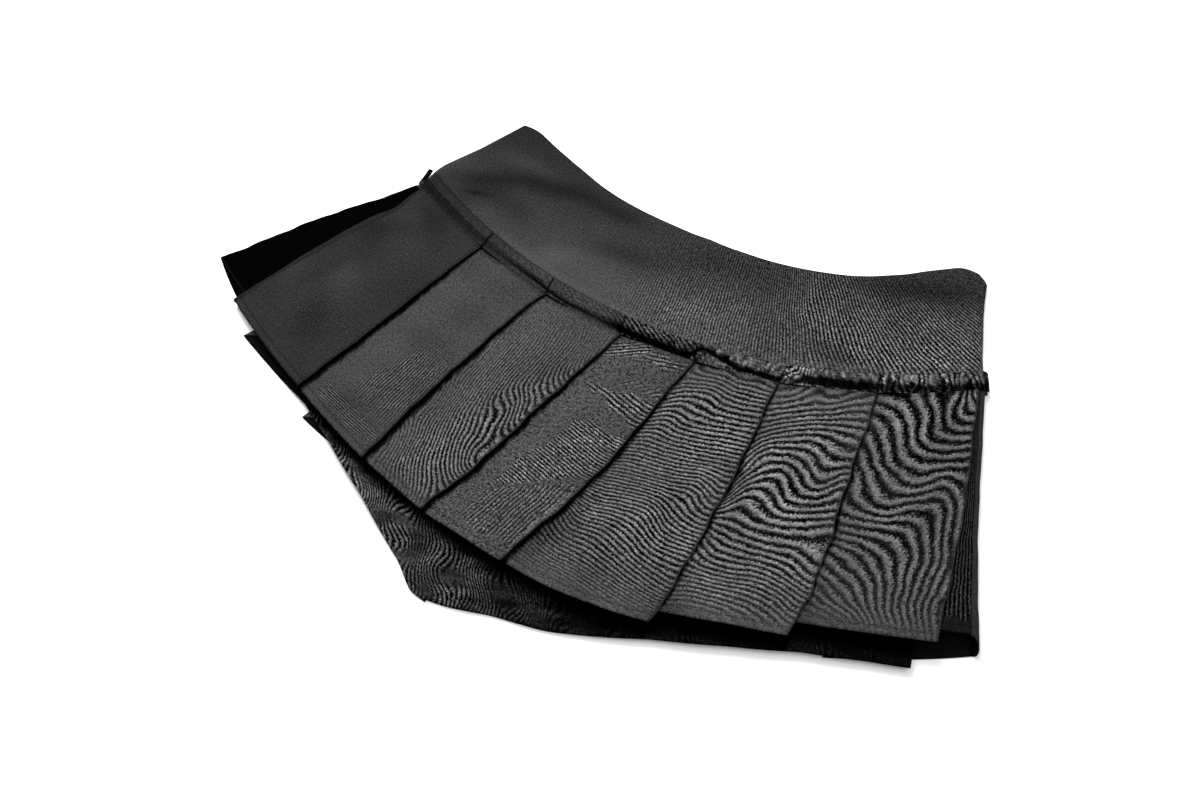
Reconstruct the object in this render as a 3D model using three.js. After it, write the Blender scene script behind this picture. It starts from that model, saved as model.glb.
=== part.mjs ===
// A pleated mini skort lying flat on its back, front side up: a wide curved yoke, a narrow joining band,
// knife pleats all round, and a pair of short-legged shorts between the two skirt layers.
//
// Units are millimetres, +Z is up and +Y points from the hem to the waist. The flat pattern is a fan: a
// place on it is an angle from -Y, in degrees, positive towards +X, and a radius from the fan's centre.
// Every piece of cloth is a closed wall round a mid-surface, and neighbouring pieces are SEAM_GAP apart.
import * as THREE from "three";

// ---- Driving dimensions ----
const FAN_CENTRE = { x: 26, y: 457.5 };
const SEAM_GAP = 0.3;
const CLOTH = { yoke: 1.5, band: 1.6, pleat: 1.2, shorts: 1.0, tab: 1.0 };
const LAYER_PITCH = 1.7; // from the middle of one pleat layer to the next

// Radii of the pieces' edges from the fan's centre.
const WAIST_R = 319.5;
const YOKE_END_R = 406.2;
const BAND_START_R = YOKE_END_R + SEAM_GAP;
const BAND_END_R = 421.5;
const BAND_NUB = 0.35; // degrees that the front band goes past the right side, and the back one the left
const PLEAT_START_R = BAND_END_R + SEAM_GAP;
const WAIST_CORNER = { width: 3.2, drop: 7 }; // degrees over which a corner rounds off, and by how much
const WAIST_EDGE = [
  { angle: -33, radius: 317.6 },
  { angle: -28, radius: 316.4 },
  { angle: -21, radius: 315.6 },
  { angle: -14, radius: 316.8 },
  { angle: -4, radius: 315.1 },
  { angle: 4, radius: 316.4 },
  { angle: 11, radius: 318.8 },
  { angle: 19, radius: 320.2 },
  { angle: 25, radius: 318.4 },
  { angle: 30, radius: 316.0 },
  { angle: 34, radius: 316.4 },
  { angle: 37, radius: 319.6 },
];

// The garment's two side edges: the angle of each at a radius.
const SIDE_EDGES = [
  { r: 319, left: -32.3, right: 36.6 },
  { r: 362, left: -32.1, right: 34.25 },
  { r: 395, left: -32.1, right: 32.6 },
  { r: 407, left: -31.75, right: 32.2 },
  { r: 423, left: -31.15, right: 31.85 },
];

// Heights of the middle of each layer above the table.
const BACK_YOKE_Z = CLOTH.yoke / 2;
const FRONT_YOKE_Z = { waist: 3.7, seam: 9.9 };
const FRONT_BAND_Z = 10.4;
const BACK_PLEAT_Z = CLOTH.pleat / 2;
const FRONT_PLEAT_Z = 8.4; // the lowest of the front pleats' three layers
const SHORTS_FRONT_Z = { top: 8.8, body: 6.9, leg: 2.2 };
const SHORTS_BACK_Z = { top: 2.4, body: 5.5, leg: CLOTH.shorts / 2 };

// Heights at which the front pieces' side walls end, above the back pieces.
const YOKE_FOOT_Z = 1.95;
const LEFT_FOOT_Z = 3.4;
const RIGHT_FOOT_Z = 1.9;

// Knife pleats. Each row is a fold line, at its angles at the band and at the hem. reach is the hem's
// radius on the pleat that ends at the fold, under the hem's radius on the next one, lift raises the hem
// there, and bow turns the middle of the line by so many degrees.
const PLEAT_LEAD = 3; // how far a layer stays level past a fold
const FRONT_PLEAT = { base: FRONT_PLEAT_Z, depth: 28, hemDepth: 28 };
const FRONT_FOLDS = [
  { seam: -30.75, hem: -30.0, reach: 584.0, under: 584.0, lift: 0.0, bow: -0.36 },
  { seam: -20.85, hem: -21.05, reach: 590.0, under: 589.5, lift: 0.5 },
  { seam: -12.2, hem: -14.0, reach: 599.6, under: 598.5, lift: 1.0, bow: -0.4 },
  { seam: -3.6, hem: -8.7, reach: 606.4, under: 605.8, lift: 1.5, bow: 0.28 },
  { seam: 4.0, hem: -2.6, reach: 612.0, under: 610.5, lift: 2.5, bow: 0.68 },
  { seam: 12.2, hem: 7.1, reach: 615.8, under: 606.0, lift: 4.0, bow: 0.48 },
  { seam: 21.4, hem: 15.4, reach: 605.1, under: 594.0, lift: 4.5, bow: 0.34 },
  { seam: 31.0, hem: 24.1, reach: 602.3, under: 592.5, lift: 4.5, bow: 0.33 },
  { seam: 31.75, hem: 26.75, reach: 597.0, under: 597.0, lift: 3.0, bow: -0.15 },
];

// The back's folds point the other way, and its first one stands out past the side as a flap.
const BACK_PLEAT = { base: BACK_PLEAT_Z, depth: 28, hemDepth: 28, lift: 0 };
const BACK_FOLDS = [
  { seam: -31.8, hem: -34.15, reach: 574.5, under: 574.5, depth: 24, hemDepth: 58, bow: -0.28 },
  { seam: -23.0, hem: -27.4, reach: 592.7, under: 582.9 },
  { seam: -14.5, hem: -19.5, reach: 601.5, under: 594.5 },
  { seam: -5.5, hem: -10.5, reach: 605.0, under: 603.0 },
  { seam: 3.5, hem: -1.0, reach: 608.0, under: 606.0 },
  { seam: 12.5, hem: 8.5, reach: 609.5, under: 608.0 },
  { seam: 21.5, hem: 17.5, reach: 611.0, under: 609.0 },
  { seam: 31.4, hem: 26.65, reach: 606.0, under: 606.0 },
];
const PANEL_ROWS = [0, 0.12, 0.4, 0.7, 1];

// Shorts: the top edge's angles, and the leg hems, each from left to right.
const SHORTS_TOP = { radius: 409, left: -28.2, centre: 0.5, right: 28.6 };
const LEG_HEMS = {
  left: [
    { angle: -27.0, radius: 577.0 },
    { angle: -17.1, radius: 601.8 },
    { angle: -12.6, radius: 618.4 },
    { angle: -8.1, radius: 640.7 },
    { angle: -6.5, radius: 653.6 },
    { angle: -5.4, radius: 655.5 },
  ],
  right: [
    { angle: -5.36, radius: 653.5 },
    { angle: -4.2, radius: 651.4 },
    { angle: -1.6, radius: 643.2 },
    { angle: 1.6, radius: 638.6 },
    { angle: 7.5, radius: 622.2 },
    { angle: 12.0, radius: 614.6 },
    { angle: 16.2, radius: 610.8 },
    { angle: 20.0, radius: 611.8 },
    { angle: 22.6, radius: 615.6 },
  ],
};
const LEG_DROP = { from: 613, to: 647 }; // radii between which the legs come down to the table
const SHORTS_ROWS = [0, 0.055, 0.2, 0.4, 0.6, 0.75, 0.84, 0.9, 0.95, 1];
const SHORTS_COLUMNS = 12;

// A short end of seam tape that lies along the left end of the band and points at the waist.
const TAPE_TAB = { root: [-193.4, 99.4], tip: [-193.4, 115.6], width: 2.8, tipWidth: 2.4, height: 3.6 };

const COLOURS = { skirt: 0x232425, shorts: 0x17181a };

// ---- Small helpers ----
const lerp = THREE.MathUtils.lerp;
const clamp01 = (t) => Math.min(1, Math.max(0, t));
const smooth = (t) => clamp01(t) ** 2 * (3 - 2 * clamp01(t));
const radians = THREE.MathUtils.degToRad;

// A point on the fan, at a height.
function onFan(angle, radius, z) {
  const a = radians(angle);
  return new THREE.Vector3(FAN_CENTRE.x + radius * Math.sin(a), FAN_CENTRE.y - radius * Math.cos(a), z);
}

// A column of a table, at a value of its key column, by straight lines between rows.
function lookUp(table, key, column, at) {
  let i = 1;
  while (i < table.length - 1 && table[i][key] < at) i++;
  const [low, high] = [table[i - 1], table[i]];
  return lerp(low[column], high[column], (at - low[key]) / (high[key] - low[key]));
}

// Evenly spaced numbers from 0 to 1.
const steps = (count) => Array.from({ length: count + 1 }, (_, i) => i / count);

// The normal of a grid of points at one of them. At the first and last rows the cloth is taken to run
// straight away from the fan's centre, so that the rims there stand square to the seams.
function gridNormal(rows, i, j) {
  const point = rows[i][j];
  const along = rows[i][Math.min(j + 1, rows[i].length - 1)].clone().sub(rows[i][Math.max(j - 1, 0)]);
  const isEnd = i === 0 || i === rows.length - 1;
  const down = isEnd
    ? new THREE.Vector3(point.x - FAN_CENTRE.x, point.y - FAN_CENTRE.y, 0)
    : rows[i + 1][j].clone().sub(rows[i - 1][j]);
  return down.cross(along).normalize();
}

// A closed wall of a given thickness round a grid of points. Seen from above, each row runs to the right
// and the rows go from the waist to the hem.
function wall(rows, thickness) {
  const [rowCount, columnCount] = [rows.length, rows[0].length];
  const positions = [];
  const index = [];
  for (const side of [0.5, -0.5])
    rows.forEach((row, i) =>
      row.forEach((point, j) =>
        positions.push(...point.clone().addScaledVector(gridNormal(rows, i, j), side * thickness)),
      ),
    );
  const top = (i, j) => i * columnCount + j;
  const under = (i, j) => rowCount * columnCount + top(i, j);
  const quad = (a, b, c, d) => index.push(a, b, c, a, c, d);
  for (let i = 0; i < rowCount - 1; i++)
    for (let j = 0; j < columnCount - 1; j++) {
      quad(top(i, j), top(i + 1, j), top(i + 1, j + 1), top(i, j + 1));
      quad(under(i, j), under(i, j + 1), under(i + 1, j + 1), under(i + 1, j));
    }
  const lastRow = rowCount - 1;
  const lastColumn = columnCount - 1;
  for (let j = 0; j < lastColumn; j++) {
    quad(top(0, j), top(0, j + 1), under(0, j + 1), under(0, j));
    quad(top(lastRow, j + 1), top(lastRow, j), under(lastRow, j), under(lastRow, j + 1));
  }
  for (let i = 0; i < lastRow; i++) {
    quad(top(i + 1, 0), top(i, 0), under(i, 0), under(i + 1, 0));
    quad(top(i, lastColumn), top(i + 1, lastColumn), under(i + 1, lastColumn), under(i, lastColumn));
  }
  const geometry = new THREE.BufferGeometry();
  geometry.setAttribute("position", new THREE.Float32BufferAttribute(positions, 3));
  geometry.setIndex(index);
  geometry.computeVertexNormals();
  return geometry;
}

const twill = (name, color, roughness) =>
  new THREE.MeshStandardMaterial({ name, color, roughness, metalness: 0 });
const materials = {
  skirt: twill("skirt_twill", COLOURS.skirt, 0.8),
  shorts: twill("shorts_twill", COLOURS.shorts, 0.9),
};

const skort = new THREE.Group();

function addPiece(name, rows, thickness, material) {
  const mesh = new THREE.Mesh(wall(rows, thickness), material);
  mesh.name = name;
  skort.add(mesh);
}

// ---- Yoke and joining band ----

// One row across a front piece: up from the left side's foot in a quarter round, level, and down at the
// right.
function archedRow(radius, height, left, right, columns, radiusAt = () => radius) {
  const reach = height - YOKE_FOOT_Z;
  const edge = (reach / radius) * (180 / Math.PI);
  const turn = [0, 30, 60, 90].map(radians);
  const offsets = turn.map((t) => [edge * (1 - Math.cos(t)), YOKE_FOOT_Z + reach * Math.sin(t)]);
  const row = offsets.map(([a, z]) => onFan(left + a, radiusAt(left + a), z));
  for (const t of steps(columns).slice(1, -1)) {
    const a = lerp(left + edge, right - edge, t);
    row.push(onFan(a, radiusAt(a), height));
  }
  for (const [a, z] of offsets.toReversed()) row.push(onFan(right - a, radiusAt(right - a), z));
  return row;
}

const flatRow = (left, right, z, columns, radiusAt) =>
  steps(columns).map((t) => onFan(lerp(left, right, t), radiusAt(lerp(left, right, t)), z));

// The waist edge wavers, and dips towards the hem at its two rounded corners.
function waistRadius(angle) {
  const [left, right] = ["left", "right"].map((side) => SIDE_EDGES[0][side]);
  const inset = Math.min(angle - left, right - angle) / WAIST_CORNER.width;
  return lookUp(WAIST_EDGE, "angle", "radius", angle) + WAIST_CORNER.drop * (1 - clamp01(inset)) ** 2;
}

function sideAngles(radius, thickness) {
  const inset = (thickness / 2 / radius) * (180 / Math.PI);
  return {
    left: lookUp(SIDE_EDGES, "r", "left", radius) + inset,
    right: lookUp(SIDE_EDGES, "r", "right", radius) - inset,
  };
}

function addYoke() {
  const [rowCount, columns] = [6, 26];
  const rowRadius = (v, angle) => lerp(waistRadius(angle), YOKE_END_R, v);
  const front = [];
  const back = [];
  for (const v of steps(rowCount)) {
    const middle = lerp(WAIST_R, YOKE_END_R, v);
    const { left, right } = sideAngles(middle, CLOTH.yoke);
    const height = lerp(FRONT_YOKE_Z.waist, FRONT_YOKE_Z.seam, smooth(v));
    const radiusAt = (angle) => rowRadius(v, angle);
    front.push(archedRow(middle, height, left, right, columns, radiusAt));
    back.push(flatRow(left, right, BACK_YOKE_Z, columns, radiusAt));
  }
  addPiece("yoke_front", front, CLOTH.yoke, materials.skirt);
  addPiece("yoke_back", back, CLOTH.yoke, materials.skirt);
}

function addBand() {
  const columns = 26;
  const [front, back] = [[], []];
  for (const v of steps(2)) {
    const radius = lerp(BAND_START_R, BAND_END_R, v);
    const { left, right } = sideAngles(radius, CLOTH.band);
    front.push(archedRow(radius, FRONT_BAND_Z, left, right + BAND_NUB, columns));
    back.push(flatRow(left - BAND_NUB * (1 + v), right, CLOTH.band / 2, columns, () => radius));
  }
  addPiece("band_front", front, CLOTH.band, materials.skirt);
  addPiece("band_back", back, CLOTH.band, materials.skirt);
}

// A flat end of tape beside the band's left end. Each row runs to the right, from its outer edge to its
// inner one.
function addTapeTab() {
  const up = new THREE.Vector3(0, 0, 1);
  const [root, tip] = [TAPE_TAB.root, TAPE_TAB.tip].map(([x, y]) => new THREE.Vector3(x, y, TAPE_TAB.height));
  const across = tip.clone().sub(root).normalize().applyAxisAngle(up, -Math.PI / 2);
  const rows = steps(3).map((t) =>
    [-1, 0, 1].map((side) => {
      const half = lerp(TAPE_TAB.tipWidth, TAPE_TAB.width, t) / 2;
      return tip.clone().lerp(root, t).addScaledVector(across, side * half);
    }),
  );
  addPiece("tape_tab", rows, CLOTH.tab, materials.skirt);
}

// ---- Pleated panels ----

// A fold line's place at v, from 0 at the band to 1 at the hem. The line is straight on the flat pattern
// but for its bow. radius is where the pleat that ends at the fold reaches, and under is where the next one
// does, below it.
function foldAt(fold, v) {
  const point = onFan(fold.seam, PLEAT_START_R, 0).lerp(onFan(fold.hem, fold.reach, 0), v);
  const [x, y] = [point.x - FAN_CENTRE.x, FAN_CENTRE.y - point.y];
  const radius = Math.hypot(x, y);
  return {
    angle: THREE.MathUtils.radToDeg(Math.atan2(x, y)) + (fold.bow ?? 0) * Math.sin(Math.PI * v),
    radius,
    under: radius - (fold.reach - fold.under) * v,
    depth: lerp(fold.depth, fold.hemDepth, v),
    base: fold.base + fold.lift * v ** 2,
  };
}

// Where a pleat's edge is at an angle, between the fold it starts under and the fold it ends at.
function pleatRadius(from, to, angle) {
  return lerp(from.under, to.radius, (angle - from.angle) / (to.angle - from.angle));
}

// The angle at a distance along the row from a fold.
const angleFrom = (fold, distance) => fold.angle + THREE.MathUtils.radToDeg(distance / fold.radius);

// A pleat's face, from the slope up to it, over its fold and on to the return below, as [angle, radius,
// height] triples. levelHeight gives the height of a layer: 2 the face, 1 the return and 0 the start of the
// next face.
function facePoints(before, fold, levelHeight, startLevel = 0) {
  const turn = LAYER_PITCH / 2;
  const rest = angleFrom(fold, -fold.depth - PLEAT_LEAD);
  const middle = (angleFrom(before, PLEAT_LEAD) + rest) / 2;
  const slopeHeight = (levelHeight(before, startLevel) + levelHeight(fold, 2)) / 2;
  const onFace = (angle, height) => [angle, pleatRadius(before, fold, angle), height];
  return [
    onFace(middle, slopeHeight),
    ...[rest, angleFrom(fold, -fold.depth / 2), angleFrom(fold, -turn)].map((angle) =>
      onFace(angle, levelHeight(fold, 2)),
    ),
    ...[1.7, 1.3].map((level) => [fold.angle, fold.radius, levelHeight(fold, level)]),
    [angleFrom(fold, -turn), fold.radius, levelHeight(fold, 1)],
  ];
}

// The inner fold between a pleat's return and the start of the next face.
function innerPoints(fold, after, levelHeight) {
  const turn = LAYER_PITCH / 2;
  return [
    [-fold.depth + turn, 1],
    [-fold.depth, 0.7],
    [-fold.depth, 0.3],
    [-fold.depth + turn, 0],
    [PLEAT_LEAD, 0],
  ].map(([distance, level]) => {
    const angle = angleFrom(fold, distance);
    return [angle, pleatRadius(fold, after, angle), levelHeight(fold, level)];
  });
}

// One row across all the pleats between a panel's first and last folds.
function pleatRow(folds, levelHeight, startLevel) {
  return folds.slice(1, -1).flatMap((fold, i) => [
    ...facePoints(folds[i], fold, levelHeight, i === 0 ? startLevel : 0),
    ...innerPoints(fold, folds[i + 2], levelHeight),
  ]);
}

// Points round an arc in the row's upright plane, from one turn in degrees to another. A turn of 90 is the
// top.
function sideArc(fold, inward, radius, centreZ, turns) {
  return turns.map((degrees) => {
    const t = radians(degrees);
    const inset = CLOTH.pleat / 2 + radius * (1 - Math.cos(t));
    return [angleFrom(fold, inward * inset), fold.radius, centreZ + radius * Math.sin(t)];
  });
}

function addFrontPleats() {
  const levelHeight = (fold, level) => fold.base + level * LAYER_PITCH;
  const rows = PANEL_ROWS.map((v) => {
    const folds = FRONT_FOLDS.map((fold) => foldAt({ ...fold, ...FRONT_PLEAT }, v));
    const [first, last] = [folds[0], folds.at(-1)];
    const rise = levelHeight(first, 1) - LEFT_FOOT_Z;
    const start = sideArc(first, 1, rise, LEFT_FOOT_Z, [0, 30, 60, 90]);
    const roll = (last.base - RIGHT_FOOT_Z) / 2;
    const end = sideArc(last, -1, roll, RIGHT_FOOT_Z + roll, [90, 60, 30, 0, -30, -60]);
    return [...start, ...pleatRow(folds, levelHeight, 1), ...end].map((place) => onFan(...place));
  });
  addPiece("pleats_front", rows, CLOTH.pleat, materials.skirt);
}

// The back's pleats fold the other way, so its rows are laid out mirrored, with the outer face on the
// table.
function addBackPleats() {
  const levelHeight = (fold, level) => BACK_PLEAT_Z + (2 - level) * LAYER_PITCH;
  const rows = PANEL_ROWS.map((v) => {
    const folds = BACK_FOLDS.map((fold) => foldAt({ ...BACK_PLEAT, ...fold }, v))
      .map((fold) => ({ ...fold, angle: -fold.angle }))
      .toReversed();
    const [side, flap] = [folds[0], folds.at(-1)];
    const sideEdge = [side.angle, side.radius, levelHeight(side, 2)];
    const flapReturn = [0.5, 1].map((part) => [
      angleFrom(flap, -flap.depth * part),
      flap.radius,
      levelHeight(flap, 1),
    ]);
    const row = [
      sideEdge,
      ...pleatRow(folds, levelHeight, 2),
      ...facePoints(folds.at(-2), flap, levelHeight),
      ...flapReturn,
    ];
    return row.map(([angle, radius, z]) => onFan(-angle, radius, z)).toReversed();
  });
  addPiece("pleats_back", rows, CLOTH.pleat, materials.skirt);
}

// ---- Shorts ----

// The middle of a shorts layer above the table: sewn to the band at the top, level inside the skirt, and
// down to the table past the back hem.
function shortsHeight(layer, v, radius) {
  const body = lerp(layer.top, layer.body, smooth(v / SHORTS_ROWS[1]));
  return lerp(body, layer.leg, smooth((radius - LEG_DROP.from) / (LEG_DROP.to - LEG_DROP.from)));
}

// A shorts panel between an outer side and the centre seam, ruled from its top edge to its leg hem.
function shortsPanel(topAngles, hem, layer) {
  const [first, last] = [hem[0].angle, hem.at(-1).angle];
  return SHORTS_ROWS.map((v) =>
    steps(SHORTS_COLUMNS).map((u) => {
      const hemAngle = lerp(first, last, u);
      const hemPoint = onFan(hemAngle, lookUp(hem, "angle", "radius", hemAngle), 0);
      const point = onFan(lerp(...topAngles, u), SHORTS_TOP.radius, 0).lerp(hemPoint, v);
      const radius = Math.hypot(point.x - FAN_CENTRE.x, point.y - FAN_CENTRE.y);
      return point.setZ(shortsHeight(layer, v, radius));
    }),
  );
}

function addShorts() {
  const seam = THREE.MathUtils.radToDeg(SEAM_GAP / 2 / SHORTS_TOP.radius);
  const tops = {
    left: [SHORTS_TOP.left, SHORTS_TOP.centre - seam],
    right: [SHORTS_TOP.centre + seam, SHORTS_TOP.right],
  };
  const layers = { front: SHORTS_FRONT_Z, back: SHORTS_BACK_Z };
  for (const [layerName, layer] of Object.entries(layers))
    for (const side of ["left", "right"]) {
      const rows = shortsPanel(tops[side], LEG_HEMS[side], layer);
      addPiece(`shorts_${layerName}_${side}`, rows, CLOTH.shorts, materials.shorts);
    }
}

addYoke();
addBand();
addTapeTab();
addFrontPleats();
addBackPleats();
addShorts();

export default skort;
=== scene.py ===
"""A pleated mini skort lying flat: yoke, joining band, knife pleats and shorts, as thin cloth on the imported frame.

Lengths are in millimetres until a mesh is made. A place on the flat pattern is an angle from -Y, in degrees, positive
towards +X, and a radius from the fan's centre.
"""

import logging
import math
from dataclasses import dataclass, field
from enum import Enum

import bpy
import numpy as np
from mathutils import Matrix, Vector

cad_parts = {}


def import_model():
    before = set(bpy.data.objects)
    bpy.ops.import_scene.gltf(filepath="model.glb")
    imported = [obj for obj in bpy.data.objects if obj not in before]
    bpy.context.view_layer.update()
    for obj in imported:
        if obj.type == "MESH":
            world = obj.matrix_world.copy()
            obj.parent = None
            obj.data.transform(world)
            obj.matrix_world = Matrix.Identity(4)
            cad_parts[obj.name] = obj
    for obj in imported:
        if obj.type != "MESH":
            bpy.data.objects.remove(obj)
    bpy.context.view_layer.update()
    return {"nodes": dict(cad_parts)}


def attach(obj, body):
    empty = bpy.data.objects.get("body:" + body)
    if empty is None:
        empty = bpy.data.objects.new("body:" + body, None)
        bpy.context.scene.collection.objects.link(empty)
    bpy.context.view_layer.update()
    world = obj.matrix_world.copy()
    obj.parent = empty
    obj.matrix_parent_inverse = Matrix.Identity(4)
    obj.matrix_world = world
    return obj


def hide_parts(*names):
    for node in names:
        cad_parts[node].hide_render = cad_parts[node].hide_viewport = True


LOG = logging.getLogger("skort")
MM = 0.001
FAN_X, FAN_Y = 26.0, 457.5
YOKE_TOP, YOKE_END = 319.5, 406.2
BAND_START, BAND_END = 406.5, 421.5
PLEAT_START = 421.8
RIM_POINTS = 3  # points round each rim of a cloth's shell
RUMPLE_WAVES = 7


class Slot(Enum):
    """The record's material slots."""

    SKIRT = "skirt_twill"
    SHORTS = "shorts_twill"


# ---------------------------------------------------------------- shape helpers


def smooth(t: np.ndarray) -> np.ndarray:
    """Rises softly from 0 to 1 as t does, as three t squared less two t cubed, and holds still outside that."""
    c = np.clip(t, 0.0, 1.0)
    return c * c * (3.0 - 2.0 * c)


def mix(a: np.ndarray, b: np.ndarray, t: np.ndarray) -> np.ndarray:
    """The value a part t of the way from a to b."""
    return a + (b - a) * t


def on_fan(angle: np.ndarray, radius: np.ndarray, height: np.ndarray) -> np.ndarray:
    """Points on the flat pattern: the fan's centre plus the radius along the angle's direction, at a height."""
    a, r, h = np.broadcast_arrays(np.radians(angle), radius, height)
    return np.stack([FAN_X + r * np.sin(a), FAN_Y - r * np.cos(a), h], axis=-1)


def plan(angle: np.ndarray, radius: np.ndarray) -> tuple[np.ndarray, np.ndarray]:
    """The x and the y of places on the flat pattern."""
    place = on_fan(angle, radius, 0.0)
    return place[..., 0], place[..., 1]


def span(angle: np.ndarray, radius: np.ndarray) -> np.ndarray:
    """The distance in millimetres that an angle in degrees spans at a radius."""
    return angle * np.radians(1.0) * radius


def rounded(distance: np.ndarray, reach: np.ndarray) -> np.ndarray:
    """Rises from 0 at an edge to 1 at a reach from it, as a quarter of a circle does."""
    return np.sqrt(np.clip(1.0 - np.clip(1.0 - distance / reach, 0.0, 1.0) ** 2, 0.0, 1.0))


def across(start: float, end: float, count: int) -> np.ndarray:
    """Evenly spaced numbers as one row of a grid."""
    return np.linspace(start, end, count)[None, :]


def knots(count: int, t: np.ndarray) -> tuple[np.ndarray, np.ndarray]:
    """The four even knots round each place, and their weights for a smooth curve through all the knots.

    Args:
        count: The number of knots.
        t: Places, 0 at the first knot and 1 at the last.

    Returns:
        The knots' numbers and their weights (Catmull and Rom's cubic), with a last axis of four.
    """
    place = np.clip(t, 0.0, 1.0) * (count - 1)
    first = np.clip(np.floor(place).astype(int), 0, count - 2)
    f = place - first
    weights = np.stack(
        [
            -0.5 * f + f**2 - 0.5 * f**3,
            1.0 - 2.5 * f**2 + 1.5 * f**3,
            0.5 * f + 2.0 * f**2 - 1.5 * f**3,
            -0.5 * f**2 + 0.5 * f**3,
        ],
        axis=-1,
    )
    return np.clip(first[..., None] + np.arange(-1, 3), 0, count - 1), weights


def spread(table: tuple[tuple[float, ...], ...], u: np.ndarray, w: np.ndarray) -> np.ndarray:
    """A smooth surface through a table of numbers, whose rows go down (w) and whose columns go across (u).

    Args:
        table: The numbers at evenly spaced places.
        u: Places across, 0 to 1.
        w: Places down, 0 to 1.

    Returns:
        The value at each place.
    """
    values = np.array(table)
    column, column_weight = knots(values.shape[1], u)
    row, row_weight = knots(values.shape[0], w)
    near = values[row[..., :, None], column[..., None, :]]
    return np.einsum("...ij,...i,...j->...", near, row_weight, column_weight)


def curve(x: np.ndarray, table: tuple[tuple[float, float], ...]) -> np.ndarray:
    """A line through points, with its bends rounded by blending three slightly shifted copies.

    Args:
        x: Places.
        table: The points, in order.

    Returns:
        The line's value at each place.
    """
    xs, ys = np.array(table).T
    shift = 0.35 * float(np.min(np.diff(xs)))
    return sum(k * np.interp(x + d * shift, xs, ys) for d, k in ((-1.0, 0.25), (0.0, 0.5), (1.0, 0.25)))


def bell(x: np.ndarray, width: float) -> np.ndarray:
    """A bell curve, 1 at x = 0 and 1/e at x = width."""
    return np.exp(-((x / width) ** 2))


@dataclass(frozen=True)
class Swell:
    """One soft rise (or hollow, with a height below 0) in the cloth, a long bell lying on the flat pattern."""

    x: float
    y: float
    length: float
    width: float
    turn: float
    height: float

    def at(self, x: np.ndarray, y: np.ndarray) -> np.ndarray:
        """Its height over places on the plan.

        Args:
            x: Places' x in millimetres.
            y: Places' y in millimetres.

        Returns:
            Heights: the product of a bell along its length and a bell across it.
        """
        c, s = math.cos(math.radians(self.turn)), math.sin(math.radians(self.turn))
        along = (x - self.x) * c + (y - self.y) * s
        beside = (y - self.y) * c - (x - self.x) * s
        return self.height * bell(along, self.length) * bell(beside, self.width)


def rumple(x: np.ndarray, y: np.ndarray, size: float, seed: int) -> np.ndarray:
    """Uneven soft waves: the mean of a few sine waves of about one size, in seeded directions.

    Args:
        x: Places' x in millimetres.
        y: Places' y in millimetres.
        size: The usual distance from crest to crest.
        seed: Picks the directions and phases.

    Returns:
        Values of about -1 to 1.
    """
    pick = np.random.default_rng(seed)
    total = np.zeros(np.broadcast(x, y).shape)
    for _ in range(RUMPLE_WAVES):
        turn, phase = pick.uniform(0.0, 2.0 * math.pi, 2)
        rate = 2.0 * math.pi / (size * pick.uniform(0.7, 1.5))
        total = total + np.sin(rate * (x * math.cos(turn) + y * math.sin(turn)) + phase)
    return total / math.sqrt(RUMPLE_WAVES * 2.0)


def swollen(swells: tuple[Swell, ...], x: np.ndarray, y: np.ndarray) -> np.ndarray:
    """The sum of all the swells' heights over places on the plan."""
    return sum((swell.at(x, y) for swell in swells), np.zeros(x.shape))


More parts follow.
